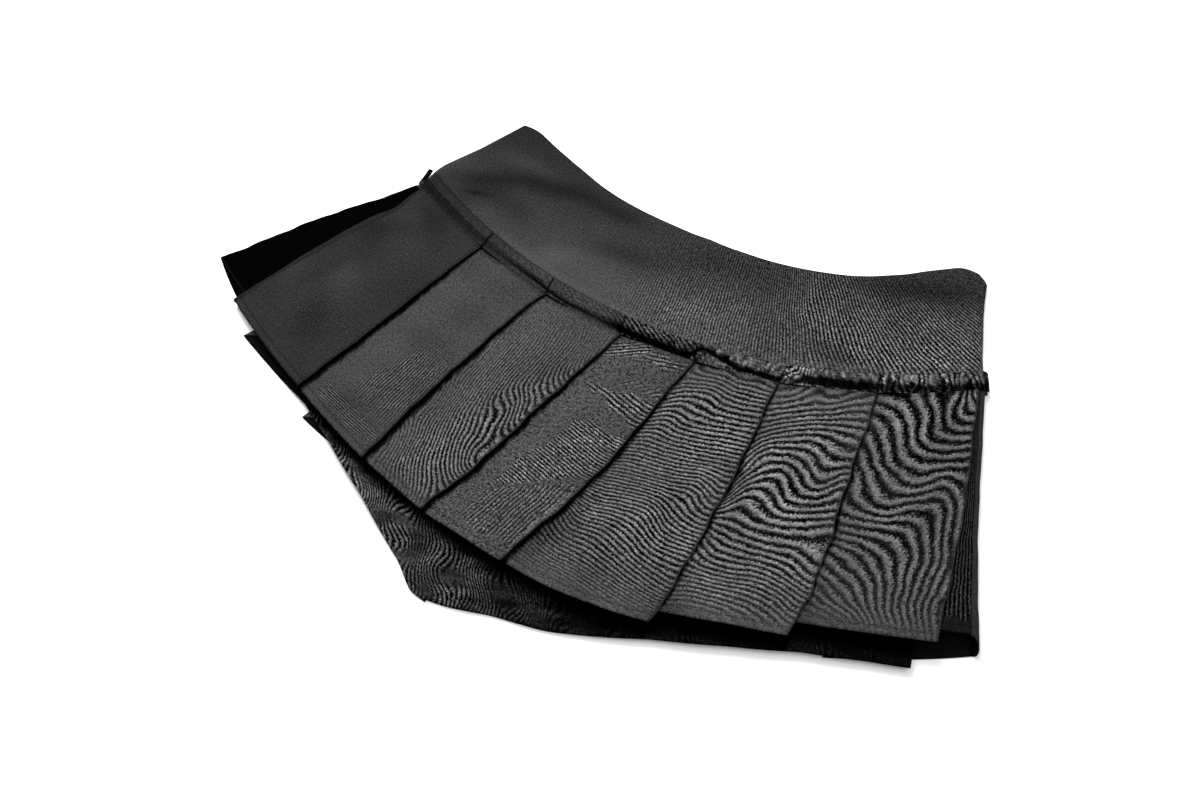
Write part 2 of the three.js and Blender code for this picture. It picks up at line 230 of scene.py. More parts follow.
@dataclass
class Cloth:
    """A sheet of cloth on a grid. Each row runs to the right and the rows go from the waist to the hem.

    The finish reads five numbers at each point: the ripple's phase in turns, how strong the ripple is, the tone (the
    cloth's own lightness together with painted light and shade), how flecked the yarn looks, and the distance to the
    nearest stitched hem in millimetres.
    """

    middle: np.ndarray
    thickness: np.ndarray
    across: np.ndarray
    down: np.ndarray
    phase: np.ndarray
    ripple: np.ndarray
    tone: np.ndarray
    fleck: np.ndarray
    hem: np.ndarray
    under_tone: np.ndarray | float = 0.1

    @classmethod
    def plain(cls, middle: np.ndarray, thickness: float, tone: float, under_tone: float = 0.1) -> "Cloth":
        """A sheet with no ripple and no hem, of one thickness and tone.

        Args:
            middle: The middle surface's points, rows by columns by 3.
            thickness: The cloth's thickness.
            tone: How light the cloth is, 1 as the finish says.
            under_tone: The tone of the underside.

        Returns:
            The sheet.
        """
        shape = middle.shape[:2]
        steps_across = np.linalg.norm(np.diff(middle, axis=1), axis=2)
        steps_down = np.linalg.norm(np.diff(middle, axis=0), axis=2)
        run = np.concatenate([np.zeros((shape[0], 1)), np.cumsum(steps_across, axis=1)], axis=1)
        fall = np.concatenate([np.zeros((1, shape[1])), np.cumsum(steps_down, axis=0)], axis=0)
        phase, ripple, fleck, hem = (np.full(shape, value) for value in (0.0, 0.0, 0.2, 99.0))
        thicknesses, tones = np.full(shape, thickness), np.full(shape, tone)
        return cls(middle, thicknesses, run - run[:, -1:] / 2.0, fall, phase, ripple, tones, fleck, hem, under_tone)

    def area(self) -> float:
        """The middle surface's area in square metres: the sum of its cells, each as half the cross product."""
        m = self.middle * MM
        one, two = m[1:, 1:] - m[:-1, :-1], m[1:, :-1] - m[:-1, 1:]
        return float(np.linalg.norm(np.cross(one, two), axis=2).sum() / 2.0)

    def normals(self) -> np.ndarray:
        """Unit normals on the side that faces up: the step down crossed with the step across."""
        along = np.gradient(self.middle, axis=1)
        down = np.gradient(self.middle, axis=0)
        n = np.cross(down, along)
        return n / np.maximum(np.linalg.norm(n, axis=2, keepdims=True), 1e-9)

    @staticmethod
    def ring(top: np.ndarray, under: np.ndarray) -> np.ndarray:
        """Joins a top and an under grid into one, by repeating the top's end rows for the rims between them.

        Args:
            top: Values on the top, rows first.
            under: Values on the underside, rows first.

        Returns:
            The rows of the top, the hem's rim, the underside upside down, and the waist's rim.
        """
        hem = np.repeat(top[-1:], RIM_POINTS, axis=0)
        waist = np.repeat(top[:1], RIM_POINTS, axis=0)
        return np.concatenate([top, hem, under[::-1], waist], axis=0)

    def rim(self, row: int, inner: int, start: float) -> np.ndarray:
        """The half circle from one side of the cloth to the other, round the outside of an end row.

        Args:
            row: The end row.
            inner: The row before it.
            start: 1 to begin at the top, -1 to begin at the underside.

        Returns:
            The rim's points: half the thickness times the cosine of the turn along the normal and its sine outwards.
        """
        turn = (np.arange(RIM_POINTS) + 1.0)[:, None, None] * math.pi / (RIM_POINTS + 1.0)
        m, n = self.middle, self.normals()[row]
        out = m[row] - m[inner]
        out = out - (out * n).sum(axis=1, keepdims=True) * n
        out = out / np.maximum(np.linalg.norm(out, axis=1, keepdims=True), 1e-9)
        return m[row] + self.thickness[row, :, None] / 2.0 * (start * n * np.cos(turn) + out * np.sin(turn))

    def make(self, name: str) -> bpy.types.Object:
        """Builds the closed thin shell: the middle moved half the thickness both ways, with half-round rims.

        Args:
            name: The object's name.

        Returns:
            The new object, at the origin.
        """
        rows, columns = self.middle.shape[:2]
        offset = self.normals() * self.thickness[..., None] / 2.0
        top_side, under_side = self.middle + offset, (self.middle - offset)[::-1]
        points = np.concatenate([top_side, self.rim(-1, -2, 1.0), under_side, self.rim(0, 1, -1.0)], axis=0)
        ring = points.shape[0]
        index = np.arange(ring * columns).reshape(ring, columns)
        after = np.roll(index, -1, axis=0)
        quads = np.stack([index[:, :-1], after[:, :-1], after[:, 1:], index[:, 1:]], axis=-1).reshape(-1, 4)
        under_start, under_end = rows + RIM_POINTS, 2 * rows + RIM_POINTS
        top, under = index[:rows], index[under_start:under_end][::-1]
        caps = []
        for column, flip in ((0, 1), (columns - 1, -1)):
            above, below = top[:, column], under[:, column]
            strip = np.stack([above[1:], above[:-1], below[:-1], below[1:]], axis=-1)
            hem_rim = [above[-1], below[-1], *index[rows:under_start, column][::-1]]
            waist_rim = [below[0], above[0], *index[under_end:, column][::-1]]
            caps += [face[::flip] for face in [*strip.tolist(), hem_rim, waist_rim]]
        mesh = bpy.data.meshes.new(name)
        faces = quads.tolist() + [[int(i) for i in face] for face in caps]
        mesh.from_pydata((points.reshape(-1, 3) * MM).tolist(), [], faces)
        self.dress(mesh)
        mesh.shade_smooth()
        mesh.set_sharp_from_angle(angle=math.radians(60.0))
        thing = bpy.data.objects.new(name, mesh)
        bpy.context.scene.collection.objects.link(thing)
        return thing

    def dress(self, mesh: bpy.types.Mesh) -> None:
        """Writes the finish's numbers on the mesh: the cloth's own UV map in metres, and one attribute for each.

        Args:
            mesh: The shell's mesh.
        """
        under = {"ripple": self.ripple * 0.2, "tone": self.tone * 0.0 + self.under_tone}
        for name in ("phase", "ripple", "tone", "fleck", "hem"):
            value = getattr(self, name)
            layer = mesh.attributes.new(name, "FLOAT", "POINT")
            both = self.ring(value, under.get(name, value))
            layer.data.foreach_set("value", np.ascontiguousarray(both, dtype=np.float32).ravel())
        corner_vertex = np.empty(len(mesh.loops), dtype=np.int32)
        mesh.loops.foreach_get("vertex_index", corner_vertex)
        own_map = [self.ring(value, value).ravel()[corner_vertex] for value in (self.across, self.down)]
        uv = mesh.uv_layers.new(name="cloth")
        uv.uv.foreach_set("vector", (np.stack(own_map, axis=-1) * MM).astype(np.float32).ravel())


# ---------------------------------------------------------------- shader helpers


class Value:
    """A number in a material, as a socket or a plain number, with arithmetic that adds Math nodes."""

    def __init__(self, graph: "Graph", source: object) -> None:
        """Wraps a socket or a number."""
        self.graph = graph
        self.source = source

    def math(self, operation: str, *others: object) -> "Value":
        """The result of a Math node with this operation on this value and the others."""
        inputs = {i: v for i, v in enumerate([self, *others])}
        return Value(self.graph, self.graph.add("ShaderNodeMath", {"operation": operation}, inputs).outputs[0])

    def __add__(self, other: object) -> "Value":
        """This plus other."""
        return self.math("ADD", other)

    def __radd__(self, other: object) -> "Value":
        """Other plus this."""
        return Value(self.graph, other).math("ADD", self)

    def __sub__(self, other: object) -> "Value":
        """This less other."""
        return self.math("SUBTRACT", other)

    def __rsub__(self, other: object) -> "Value":
        """Other less this."""
        return Value(self.graph, other).math("SUBTRACT", self)

    def __mul__(self, other: object) -> "Value":
        """This times other."""
        return self.math("MULTIPLY", other)

    def __rmul__(self, other: object) -> "Value":
        """Other times this."""
        return Value(self.graph, other).math("MULTIPLY", self)

    def __truediv__(self, other: object) -> "Value":
        """This over other."""
        return self.math("DIVIDE", other)

    def __rtruediv__(self, other: object) -> "Value":
        """Other over this."""
        return Value(self.graph, other).math("DIVIDE", self)

    def __pow__(self, other: object) -> "Value":
        """This to the power of other."""
        return self.math("POWER", other)

    def sine(self) -> "Value":
        """The sine of this many turns."""
        return (self * (2.0 * math.pi)).math("SINE")

    def between(self, low: float, high: float) -> "Value":
        """Rises softly from 0 at low to 1 at high.

        Args:
            low: Where it starts to rise.
            high: Where it is 1.

        Returns:
            The eased value.
        """
        inputs = {"Value": self, "From Min": low, "From Max": high, "To Min": 0.0, "To Max": 1.0}
        node = self.graph.add("ShaderNodeMapRange", {"interpolation_type": "SMOOTHSTEP"}, inputs)
        return Value(self.graph, node.outputs["Result"])


class Graph:
    """A material's node tree."""

    def __init__(self, name: str) -> None:
        """Makes an empty material.

        Args:
            name: The material's name.
        """
        self.material = bpy.data.materials.new(name)
        self.material.use_nodes = True
        self.tree = self.material.node_tree
        self.tree.nodes.clear()

    def add(self, kind: str, settings: dict | None = None, inputs: dict | None = None) -> bpy.types.Node:
        """Adds a node of any type.

        Args:
            kind: The node's type.
            settings: Its own settings, set first.
            inputs: Its sockets' values or links, by name or number.

        Returns:
            The node.
        """
        node = self.tree.nodes.new(kind)
        for key, value in (settings or {}).items():
            setattr(node, key, value)
        for key, value in (inputs or {}).items():
            source = value.source if isinstance(value, Value) else value
            if isinstance(source, bpy.types.NodeSocket):
                self.tree.links.new(source, node.inputs[key])
            else:
                node.inputs[key].default_value = source
        return node

    def attribute(self, name: str) -> Value:
        """A number from the mesh's attribute of that name."""
        return Value(self, self.add("ShaderNodeAttribute", {"attribute_name": name}).outputs["Fac"])

    def noise(self, vector: object, scale: float, detail: float = 2.0) -> Value:
        """Noise of about -1 to 1, with so many bumps in a metre and so many finer layers."""
        inputs = {"Vector": vector, "Scale": scale, "Detail": detail, "Roughness": 0.6}
        return Value(self, self.add("ShaderNodeTexNoise", {}, inputs).outputs["Fac"]) * 4.0 - 2.0


@dataclass(frozen=True)
class Twill:
    """A woven black twill: fine slanting wales, uneven yarn, and a watered ripple where the mesh says so.

    stitch is the hem stitches' distance from the hem in millimetres. wale is the wales' pitch and dash the stitches',
    in metres, and the scales say how many bumps of yarn, fuzz and uneven dye fit in a metre.
    """

    name: str
    colour: tuple[float, float, float]
    stitch: float
    roughness: float = 0.62
    wale: float = 0.0009
    yarn_scale: float = 950.0
    fuzz_scale: float = 620.0
    patch_scale: float = 30.0
    grain: float = 0.6
    dash: float = 0.0026

    def make(self) -> bpy.types.Material:
        """Builds the material.

        The cloth's UV map is in metres. The wales are sine waves on it at 60 degrees, and the yarn is fine noise. The
        ripple is one plus a sine of the phase attribute, roughened by noise and raised to the power 2.5, so that its
        pale lines are narrow and bright. Where the tone is low, mostly where shade and shadow are painted, the cloth
        is matt, so that no reflection lifts the painted shade.

        Returns:
            The material.
        """
        g = Graph(self.name)
        uv = g.add("ShaderNodeUVMap", {"uv_map": "cloth"}).outputs[0]
        run, fall = (Value(g, part) for part in g.add("ShaderNodeSeparateXYZ", {}, {0: uv}).outputs[:2])
        space = g.add("ShaderNodeTexCoord").outputs["Object"]
        wales = ((run * 0.5 + fall * 0.87) / self.wale + g.noise(uv, 260.0) * 0.12).sine()
        yarn = g.noise(uv, self.yarn_scale, 3.0)
        patches = g.noise(space, self.patch_scale, 3.0)
        fuzz = g.noise(uv, self.fuzz_scale)
        phase, ripple = g.attribute("phase"), g.attribute("ripple")
        tone, fleck, hem = g.attribute("tone"), g.attribute("fleck"), g.attribute("hem")
        wave = (phase + fuzz * 0.26 + g.noise(uv, 150.0) * 0.14).sine()
        strength = (ripple * (1.0 + patches * 0.3 + g.noise(uv, 90.0) * 0.25)).math("MINIMUM", 1.25)
        lines = (1.0 + wave * strength * 0.76) ** 2.5 * 0.92
        flecks = (yarn * 0.3 + fuzz * 0.6 + g.noise(uv, 330.0, 3.0) * 0.45) * fleck
        weave = (1.0 + wales * 0.05 + yarn * self.grain + fuzz * 0.2 + flecks).math("MAXIMUM", 0.1)
        stitched = self.stitches(hem, run)
        light = tone * lines * weave * (1.0 + patches * 0.1) * (1.0 - stitched * 0.35)
        shade = g.add("ShaderNodeMix", {"data_type": "RGBA", "blend_type": "MULTIPLY"}, {0: 1.0})
        shade.inputs[6].default_value = (*self.colour, 1.0)
        g.tree.links.new(light.source, shade.inputs[7])
        height = wales * 0.3 + yarn * 0.3 + wave * strength * 0.6 - stitched * 1.5
        bump = g.add("ShaderNodeBump", {}, {"Strength": 0.4, "Distance": 0.0002, "Height": height})
        satin = {
            "Base Color": shade.outputs[2],
            "Roughness": self.roughness,
            "Normal": bump.outputs[0],
            "Sheen Weight": 0.02,
            "Sheen Roughness": 0.5,
            "Specular IOR Level": 0.06,
        }
        front = g.add("ShaderNodeBsdfPrincipled", {}, satin)
        matt = g.add("ShaderNodeBsdfDiffuse", {}, {"Color": shade.outputs[2], "Normal": bump.outputs[0]})
        # the matt mix follows the tone, so painted shade and shadow lose their reflection too
        shine = light.between(0.1, 0.9)
        skin = g.add("ShaderNodeMixShader", {}, {0: shine, 1: matt.outputs[0], 2: front.outputs[0]})
        g.add("ShaderNodeOutputMaterial", {}, {"Surface": skin.outputs[0]})
        return g.material

    def stitches(self, hem: Value, run: Value) -> Value:
        """1 on a row of dashes that runs along the cloth, a set distance inside the hem, and 0 off it."""
        line = 1.0 - (hem - self.stitch).math("ABSOLUTE").between(0.15, 0.45)
        return line * (run / self.dash).sine().between(-0.7, -0.2)


# ---------------------------------------------------------------- ripple fields


@dataclass(frozen=True)
class Patch:
    """A patch of straight ripple lines on a pleat's face, with soft edges. u runs across the face and w down it."""

    u: tuple[float, float]
    w: tuple[float, float]
    across: float
    down: float
    strength: float
    soft: float = 0.04
    lean: float = 0.0
    flare: tuple[float, float] = (0.0, 0.0)

    def phase(self, u: np.ndarray, w: np.ndarray) -> np.ndarray:
        """The ripple's phase in turns: so many lines across and so many down."""
        return self.across * u + self.down * w

    def contrast(self, u: np.ndarray, w: np.ndarray) -> np.ndarray:
        """How strong the patch is: 0 outside its box, whose left side leans and whose ends slope by its flare.

        Args:
            u: Places across the face.
            w: Places down the face.

        Returns:
            The strength.
        """
        left = smooth((u - self.u[0] + self.lean * (w - self.w[0])) / self.soft)
        right = smooth((self.u[1] - u) / self.soft)
        top = smooth((w - self.w[0] - self.flare[0] * (u - self.u[0])) / self.soft)
        bottom = smooth((self.w[1] + self.flare[1] * (u - self.u[0]) - w) / self.soft)
        return self.strength * left * right * top * bottom


@dataclass(frozen=True)
class Ripple:
    """The watered ripple on one pleat: how many lines lie between the first corner and each place in a table.

    The table's rows go down the pleat and its columns go across it. The strengths go down the pleat and across it.
    """

    lines: tuple[tuple[float, ...], ...] = ((0.0, 0.0), (0.0, 0.0))
    down: tuple[float, ...] = (0.0, 0.0)
    across: tuple[float, ...] = (1.0, 1.0)
    patches: tuple[Patch, ...] = ()

    def at(self, u: np.ndarray, w: np.ndarray) -> tuple[np.ndarray, np.ndarray]:
        """The phase and the strength of the ripple: those of the strongest of the table and the patches.

        Args:
            u: Places across the pleat, 0 to 1.
            w: Places down the pleat, 0 to 1.

        Returns:
            The phase in turns, and the strength.
        """
        u, w = np.broadcast_arrays(u, w)
        phase = spread(self.lines, u, w)
        strength = spread((self.across,) * 2, u, w) * spread(tuple((s, s) for s in self.down), u, w)
        drift = 0.03 * rumple(u, 4.0 * w, 0.3, 3)
        for patch in self.patches:
            own = patch.contrast(u + drift, w - 0.4 * drift) * (0.85 + 0.3 * rumple(u, 4.0 * w, 0.22, 6))
            phase = np.where(own > strength, patch.phase(u, w), phase)
            strength = np.maximum(own, strength)
        return phase, strength


RIPPLES: dict[int, Ripple] = {
    1: Ripple(
        patches=(
            Patch((0.1, 1.1), (0.45, 0.97), 17.0, 87.0, 0.3, 0.3),
            Patch((0.1, 0.9), (0.05, 0.5), 14.0, 95.0, 0.08, 0.3),
        )
    ),
    2: Ripple(
        patches=(
            Patch((0.5, 1.08), (0.4, 0.93), 33.0, -8.0, 0.75, 0.2, 0.5),
            Patch((0.15, 0.98), (0.87, 0.985), 3.0, 100.0, 0.75, 0.03),
            Patch((0.02, 0.98), (0.12, 0.6), 30.0, 60.0, 0.1, 0.3),
        )
    ),
    3: Ripple(
        (
            (13.8, 22.3, 26.9, 34.2, 39.3, 44.0),
            (14.4, 19.7, 25.8, 30.8, 36.4, 43.0),
            (12.7, 18.1, 23.2, 28.8, 34.4, 38.4),
            (11.6, 17.1, 22.5, 27.9, 31.7, 33.3),
            (10.5, 14.9, 20.0, 24.9, 26.3, 30.3),
            (6.7, 11.9, 17.7, 21.5, 24.3, 26.3),
            (6.0, 9.0, 13.5, 18.0, 22.0, 25.6),
            (0.9, 4.7, 9.5, 13.5, 16.3, 18.1),
            (0.3, 1.9, 4.8, 7.4, 11.3, 15.4),
        ),
        (0.15, 0.35, 0.65, 0.75, 0.8, 0.95, 0.95, 0.9, 0.6),
        (0.35, 0.55, 0.75, 0.9, 1.0, 0.9),
    ),
    4: Ripple(
        patches=(
            Patch((0.47, 1.1), (0.385, 0.78), -6.2, 82.0, 1.15, 0.03, 0.5, (0.0, -0.3)),
            Patch((0.18, 1.1), (0.24, 0.265), -5.0, 58.0, 1.05, 0.02, 0.0, (-0.04, 0.11)),
            Patch((0.3, 1.1), (0.765, 0.97), 24.0, 1.5, 0.6, 0.03, 0.0, (-0.2, 0.0)),
            Patch((0.0, 0.5), (0.02, 0.13), 10.0, 52.0, 0.9, 0.03, 0.0, (-0.1, -0.1)),
            Patch((0.4, 1.0), (0.0, 0.09), 3.0, 52.0, 0.9, 0.03, 0.0, (0.03, 0.0)),
            Patch((0.55, 1.1), (0.15, 0.22), 11.0, 40.0, 0.5, 0.03),
        )
    ),
    5: Ripple(
        (
            (3.2, 2.0, 1.8, 1.1, 1.4, 0.6),
            (6.1, 7.6, 8.0, 7.0, 6.7, 7.0),
            (10.7, 12.9, 12.1, 12.1, 12.5, 12.6),
            (17.0, 18.8, 18.6, 18.8, 19.4, 19.6),
            (24.2, 26.1, 26.6, 26.9, 27.5, 25.3),
            (34.5, 34.6, 35.7, 35.7, 32.5, 31.1),
            (46.1, 43.4, 43.6, 42.0, 39.6, 39.0),
            (52.8, 51.1, 50.6, 49.0, 47.0, 45.0),
            (60.7, 60.6, 60.1, 58.1, 56.1, 54.5),
        ),
        (0.55, 0.9, 1.05, 0.85, 0.8, 0.95, 0.95, 0.75, 0.2),
        (0.5, 0.75, 0.9, 1.0, 1.0, 0.9),
    ),
    6: Ripple(
        (
            (0.2, 0.8, 2.5, 2.0, 3.1, 3.7),
            (2.9, 3.7, 4.5, 5.0, 5.9, 6.0),
            (6.3, 7.9, 9.0, 9.5, 9.1, 8.7),
            (8.7, 12.0, 12.5, 12.1, 10.9, 10.8),
            (10.5, 14.1, 15.4, 14.0, 12.7, 14.3),
            (11.7, 17.3, 17.4, 15.8, 15.7, 16.4),
            (19.1, 19.8, 19.1, 18.7, 18.9, 19.5),
            (25.1, 23.0, 22.2, 21.6, 21.3, 20.3),
            (28.0, 26.7, 26.2, 26.2, 24.8, 22.8),
            (31.8, 32.4, 32.0, 31.4, 30.1, 27.8),
            (36.5, 37.0, 36.8, 35.2, 33.6, 32.0),
        ),
        (0.6, 0.8, 0.95, 1.05, 1.1, 1.05, 1.05, 1.0, 0.85, 0.65, 0.25),
        (0.6, 0.9, 1.0, 1.0, 0.95, 0.75),
    ),
    7: Ripple(
        (
            (7.1, 6.8, 6.2, 4.8, 4.2, 0.8),
            (9.0, 8.3, 7.0, 5.6, 3.6, 2.5),
            (10.6, 9.4, 7.8, 5.9, 5.2, 5.1),
            (12.0, 10.4, 8.6, 7.8, 7.7, 7.9),
            (13.0, 11.5, 10.2, 9.5, 10.4, 9.5),
            (13.4, 12.5, 11.6, 12.3, 12.2, 10.1),
            (15.4, 15.0, 14.7, 14.3, 12.6, 10.1),
            (18.6, 18.0, 16.8, 15.4, 13.3, 10.5),
            (21.0, 19.7, 18.3, 15.9, 12.8, 10.0),
            (23.7, 22.1, 20.0, 16.6, 12.9, 9.3),
            (25.8, 25.6, 23.6, 18.5, 14.4, 10.2),
        ),
        (0.95, 1.1, 1.1, 1.05, 1.0, 0.9, 0.85, 0.8, 0.7, 0.5, 0.2),
        (0.6, 0.9, 1.0, 1.0, 1.0, 0.9),
    ),
    8: Ripple(patches=(Patch((-0.1, 1.1), (-0.1, 0.955), 9.0, -4.0, 1.2, 0.02),)),
}


# ---------------------------------------------------------------- the pieces


@dataclass(frozen=True)
class Fold:
    """One pleat's fold line: its angle at the band and at the hem, and the hem's radius on it and under it.

    lift raises the hem there, and depth and hem_depth are the return's width at the band and at the hem. bulge bows
    the hem of the pleat that ends at the fold. bow turns the middle of the line and nip pulls it in near the band,
    both in degrees. belly swings the cloth's edge out past that line, by so many degrees, furthest where this power
    of v is a half. sway scales the line's small wavering, and fleck is the pleat's. tone is painted light and shade
    on the pleat, as a part of the panel's tone.
    """

    seam: float
    hem: float
    reach: float
    under: float
    lift: float = 0.0
    depth: float = 28.0
    hem_depth: float = 28.0
    bulge: float = 0.0
    bow: float = 0.0
    nip: float = 0.0
    belly: tuple[float, float] = (0.0, 1.0)
    sway: float = 1.0
    tone: float = 1.0
    fleck: float = 0.2


@dataclass
class FoldRow:
    """A fold line's numbers on every row of a panel, each as a column. line is its angle without its belly."""

    angle: np.ndarray
    line: np.ndarray
    radius: np.ndarray
    under: np.ndarray
    base: np.ndarray
    depth: np.ndarray

    def turned(self, distance: np.ndarray) -> np.ndarray:
        """The angle at a distance to the right of the fold, along the row."""
        return self.angle + np.degrees(distance / self.radius)


@dataclass
class Stretch:
    """Part of a panel's section: angles, radii and heights on every row, and what the finish reads."""

    angle: np.ndarray
    radius: np.ndarray
    height: np.ndarray
    phase: np.ndarray
    ripple: np.ndarray
    tone: np.ndarray
    fleck: np.ndarray


@dataclass
class PleatedPanel:
    """A panel of knife pleats, folded from one sheet of cloth and swept from the joining band to the hem.

    Its section zigzags: a face that ends at a sharp fold, a return under the face, and the start of the next face
    under the return.
    """

    folds: tuple[Fold, ...]
    base: float
    tone: float
    face_rise: float = 3.1
    return_drop: float = 0.8
    inner_turn: float = 0.75
    thickness: float = 0.62
    hem_width: float = 7.5
    hem_stitch: float = 4.8
    # painted shade: the underside, which shows in the mouth under the hem, is nearly black
    under_tone: float = 0.06
    mirrored: bool = False
    # soft patches of painted light and shade on the faces, added to their tone
    painted_shades: tuple[Swell, ...] = ()

    def rows(self) -> np.ndarray:
        """Places down the panel, 0 at the band and 1 at the hem, close together at both ends."""
        from_hem = np.array([0.0, 0.35, 0.9, 1.8, 3.2, 4.6, 5.4, 6.0, 6.6, 7.2, 7.8, 8.6, 10.0])
        to_hem = 1.0 - from_hem[::-1] / 180.0
        top = np.array([0.0, 0.004, 0.009, 0.015, 0.022, 0.03, 0.04, 0.052])
        between = np.linspace(0.066, to_hem[0] - 0.012, 44)
        return np.concatenate([top, between, to_hem])[:, None]

    def fold_rows(self, v: np.ndarray) -> list[FoldRow]:
        """Each fold's numbers on every row. Its line is straight on the flat pattern, but for its bow, nip and sway.

        Args:
            v: Places down the panel, as a column.

        Returns:
            One entry per fold, from the left.
        """
        made = []
        for i, fold in enumerate(self.folds):
            start = on_fan(fold.seam, PLEAT_START, 0.0)
            end = on_fan(fold.hem, fold.reach, 0.0)
            point = mix(start, end, v[..., None])[:, 0] - np.array([FAN_X, FAN_Y, 0.0])
            radius = np.hypot(point[:, :1], point[:, 1:2])
            angle = np.degrees(np.arctan2(point[:, :1], -point[:, 1:2]))
            sway = 0.05 * np.sin(9.0 * v + 2.3 * i) + 0.04 * np.sin(27.0 * v + 1.7 * i)
            sway = sway + 0.025 * np.sin(55.0 * v + i)
            line = angle + fold.sway * sway * smooth(v * 6.0) + fold.bow * np.sin(np.pi * v)
            line = line + fold.nip * bell(v - 0.16, 0.07)
            made.append(
                FoldRow(
                    line + fold.belly[0] * np.sin(np.pi * v ** fold.belly[1]),
                    line,
                    radius,
                    radius - (fold.reach - fold.under) * v,
                    self.base + fold.lift * v**2,
                    mix(fold.depth, fold.hem_depth, v) + 0.0 * v,
                )
            )
        return made

    def reach(self, i: int, before: FoldRow, fold: FoldRow, angle: np.ndarray, v: np.ndarray) -> np.ndarray:
        """A pleat's radius at an angle: a straight line between its two folds, bowed towards the hem.

        Args:
            i: The pleat's number.
            before: The fold that it starts under.
            fold: The fold that it ends at.
            angle: The angles.
            v: Places down the panel.

        Returns:
            The radii.
        """
        t = (angle - before.angle) / (fold.angle - before.angle)
        inside = np.clip(t, 0.0, 1.0)
        bow = self.folds[i].bulge * v**3 * 4.0 * inside * (1.0 - inside)
        return mix(before.under, fold.radius, t) + bow

    def face(
        self, i: int, before: FoldRow, fold: FoldRow, start: np.ndarray, v: np.ndarray, level: np.ndarray | float
    ) -> Stretch:
        """A pleat's face, from the inner fold that it leaves, or from a side, to its own fold.

        The face lies low past the fold above it, then climbs softly to its own fold, a little crowned.

        Args:
            i: The pleat's number.
            before: The fold that it starts under.
            fold: The fold that it ends at.
            start: The angle at which this stretch starts.
            v: Places down the panel.
            level: The height it starts at, above the base, as a number or a column.

        Returns:
            The stretch.
        """
        t = across(0.0, 1.0, 56) ** 0.9
        end = fold.turned(-self.return_drop / 2.0 + 0.0 * v)
        angle = mix(start, end, t)
        from_before = span(angle - before.angle, fold.radius)
        width = span(fold.angle - before.angle, fold.radius)
        climb = smooth((from_before - 3.0) / (width - fold.depth - 7.0))
        u = np.clip(from_before / width, 0.0, 1.0)
        height = mix(before.base, fold.base, u) + mix(level, self.rise(v), climb)
        height = height + 0.5 * np.sin(np.pi * u) * climb
        radius = self.reach(i, before, fold, angle, v)
        x, y = plan(angle, radius)
        slack = smooth(v * 4.0) * smooth(from_before / 8.0) * smooth((width - from_before) / 26.0)
        height = height + 0.55 * slack * rumple(x, y, 55.0, 20 + i)
        along = np.clip((angle - before.line) / (fold.line - before.line), 0.0, 1.0)
        phase, ripple = (0.0 * u, 0.0 * u) if self.mirrored else RIPPLES[i].at(along, v)
        edge = smooth(from_before / 4.0) * smooth((width - from_before) / 2.0)
        # painted light and shade: the patches of painted_shades, the painted fold shadows and each pleat's tone; the
        # rumple is random unevenness
        uneven = 1.0 + 0.12 * rumple(x, y, 45.0, 60 + i) + swollen(self.painted_shades, x, y)
        tone = self.tone * self.folds[i].tone * self.fold_shade(i, from_before, width, v, (x, y)) * uneven
        fleck = self.folds[i].fleck + 0.0 * tone
        return Stretch(angle, radius, height, phase, ripple * mix(0.4, 1.0, edge), tone, fleck)

    def fold_shade(
        self, i: int, from_before: np.ndarray, width: np.ndarray, v: np.ndarray, spot: tuple[np.ndarray, np.ndarray]
    ) -> np.ndarray:
        """The tone of a face along its edges: a painted shadow, dark and frayed, under the fold above it, painted
        shade on its own fold edge, and painted shade at its top under the band.

        Args:
            i: The pleat's number.
            from_before: The distance from the fold above the face, in millimetres.
            width: The face's width.
            v: Places down the panel.
            spot: The places' x and y.

        Returns:
            The tone, 1 away from the edges.
        """
        frayed = 0.7 * self.folds[i - 1].sway * rumple(*spot, 8.0, 80 + i)
        frayed = smooth(v * 4.0) * (frayed + 0.6 * rumple(*spot, 3.0, 90 + i))
        clear = from_before - 0.8 - 1.7 * smooth(v * 2.0) + frayed
        shade = mix(0.03, 1.0, smooth(clear / (1.1 + 2.0 * v)))
        shade = shade * (1.0 - 0.4 * smooth((from_before - width + 2.0) / 1.6))
        return shade * mix(0.85 if i == 1 else 0.6, 1.0, smooth(v / 0.03))

    def crossing(self, fold: FoldRow, v: np.ndarray) -> list[Stretch]:
        """The sharp fold at the end of a face, and the return under it as far as the inner fold.

        Args:
            fold: The fold.
            v: Places down the panel.

        Returns:
            The two stretches.
        """
        outer, inner = self.return_drop / 2.0, self.inner(v)
        turn = across(80.0, -80.0, 7) * np.radians(1.0)
        top = fold.base + self.rise(v)
        side = fold.turned(-outer + outer * np.cos(turn))
        # painted shade on the fold edge (0.55) and on the return under it (0.35)
        edge = self.dark(side, top - outer + outer * np.sin(turn), fold, 0.55)
        t = across(0.0, 1.0, 9)
        level = mix(top - 2.0 * outer, fold.base + 2.0 * inner, smooth(t * 1.15))
        return [edge, self.dark(fold.turned(mix(-outer, -fold.depth + inner, t)), level, fold, 0.35)]

    def turn_back(self, i: int, fold: FoldRow, after: FoldRow, v: np.ndarray) -> list[Stretch]:
        """A fold, its return, and the half circle of the inner fold that leads into the next pleat.

        Args:
            i: The fold's number.
            fold: The fold.
            after: The fold after it.
            v: Places down the panel.

        Returns:
            The three stretches.
        """
        made = self.crossing(fold, v)
        inner = self.inner(v)
        turn = across(110.0, 250.0, 5) * np.radians(1.0)
        side = fold.turned(inner - fold.depth + inner * np.cos(turn))
        # painted shade on the inner fold
        made.append(self.dark(side, fold.base + inner + inner * np.sin(turn), fold, 0.3))
        for stretch in made[1:]:
            part = np.clip(9.0 * (fold.angle - stretch.angle) / (after.angle - fold.angle), 0.0, 1.0)
            stretch.radius = mix(fold.radius, self.reach(i + 1, fold, after, stretch.angle, v), part)
        return made

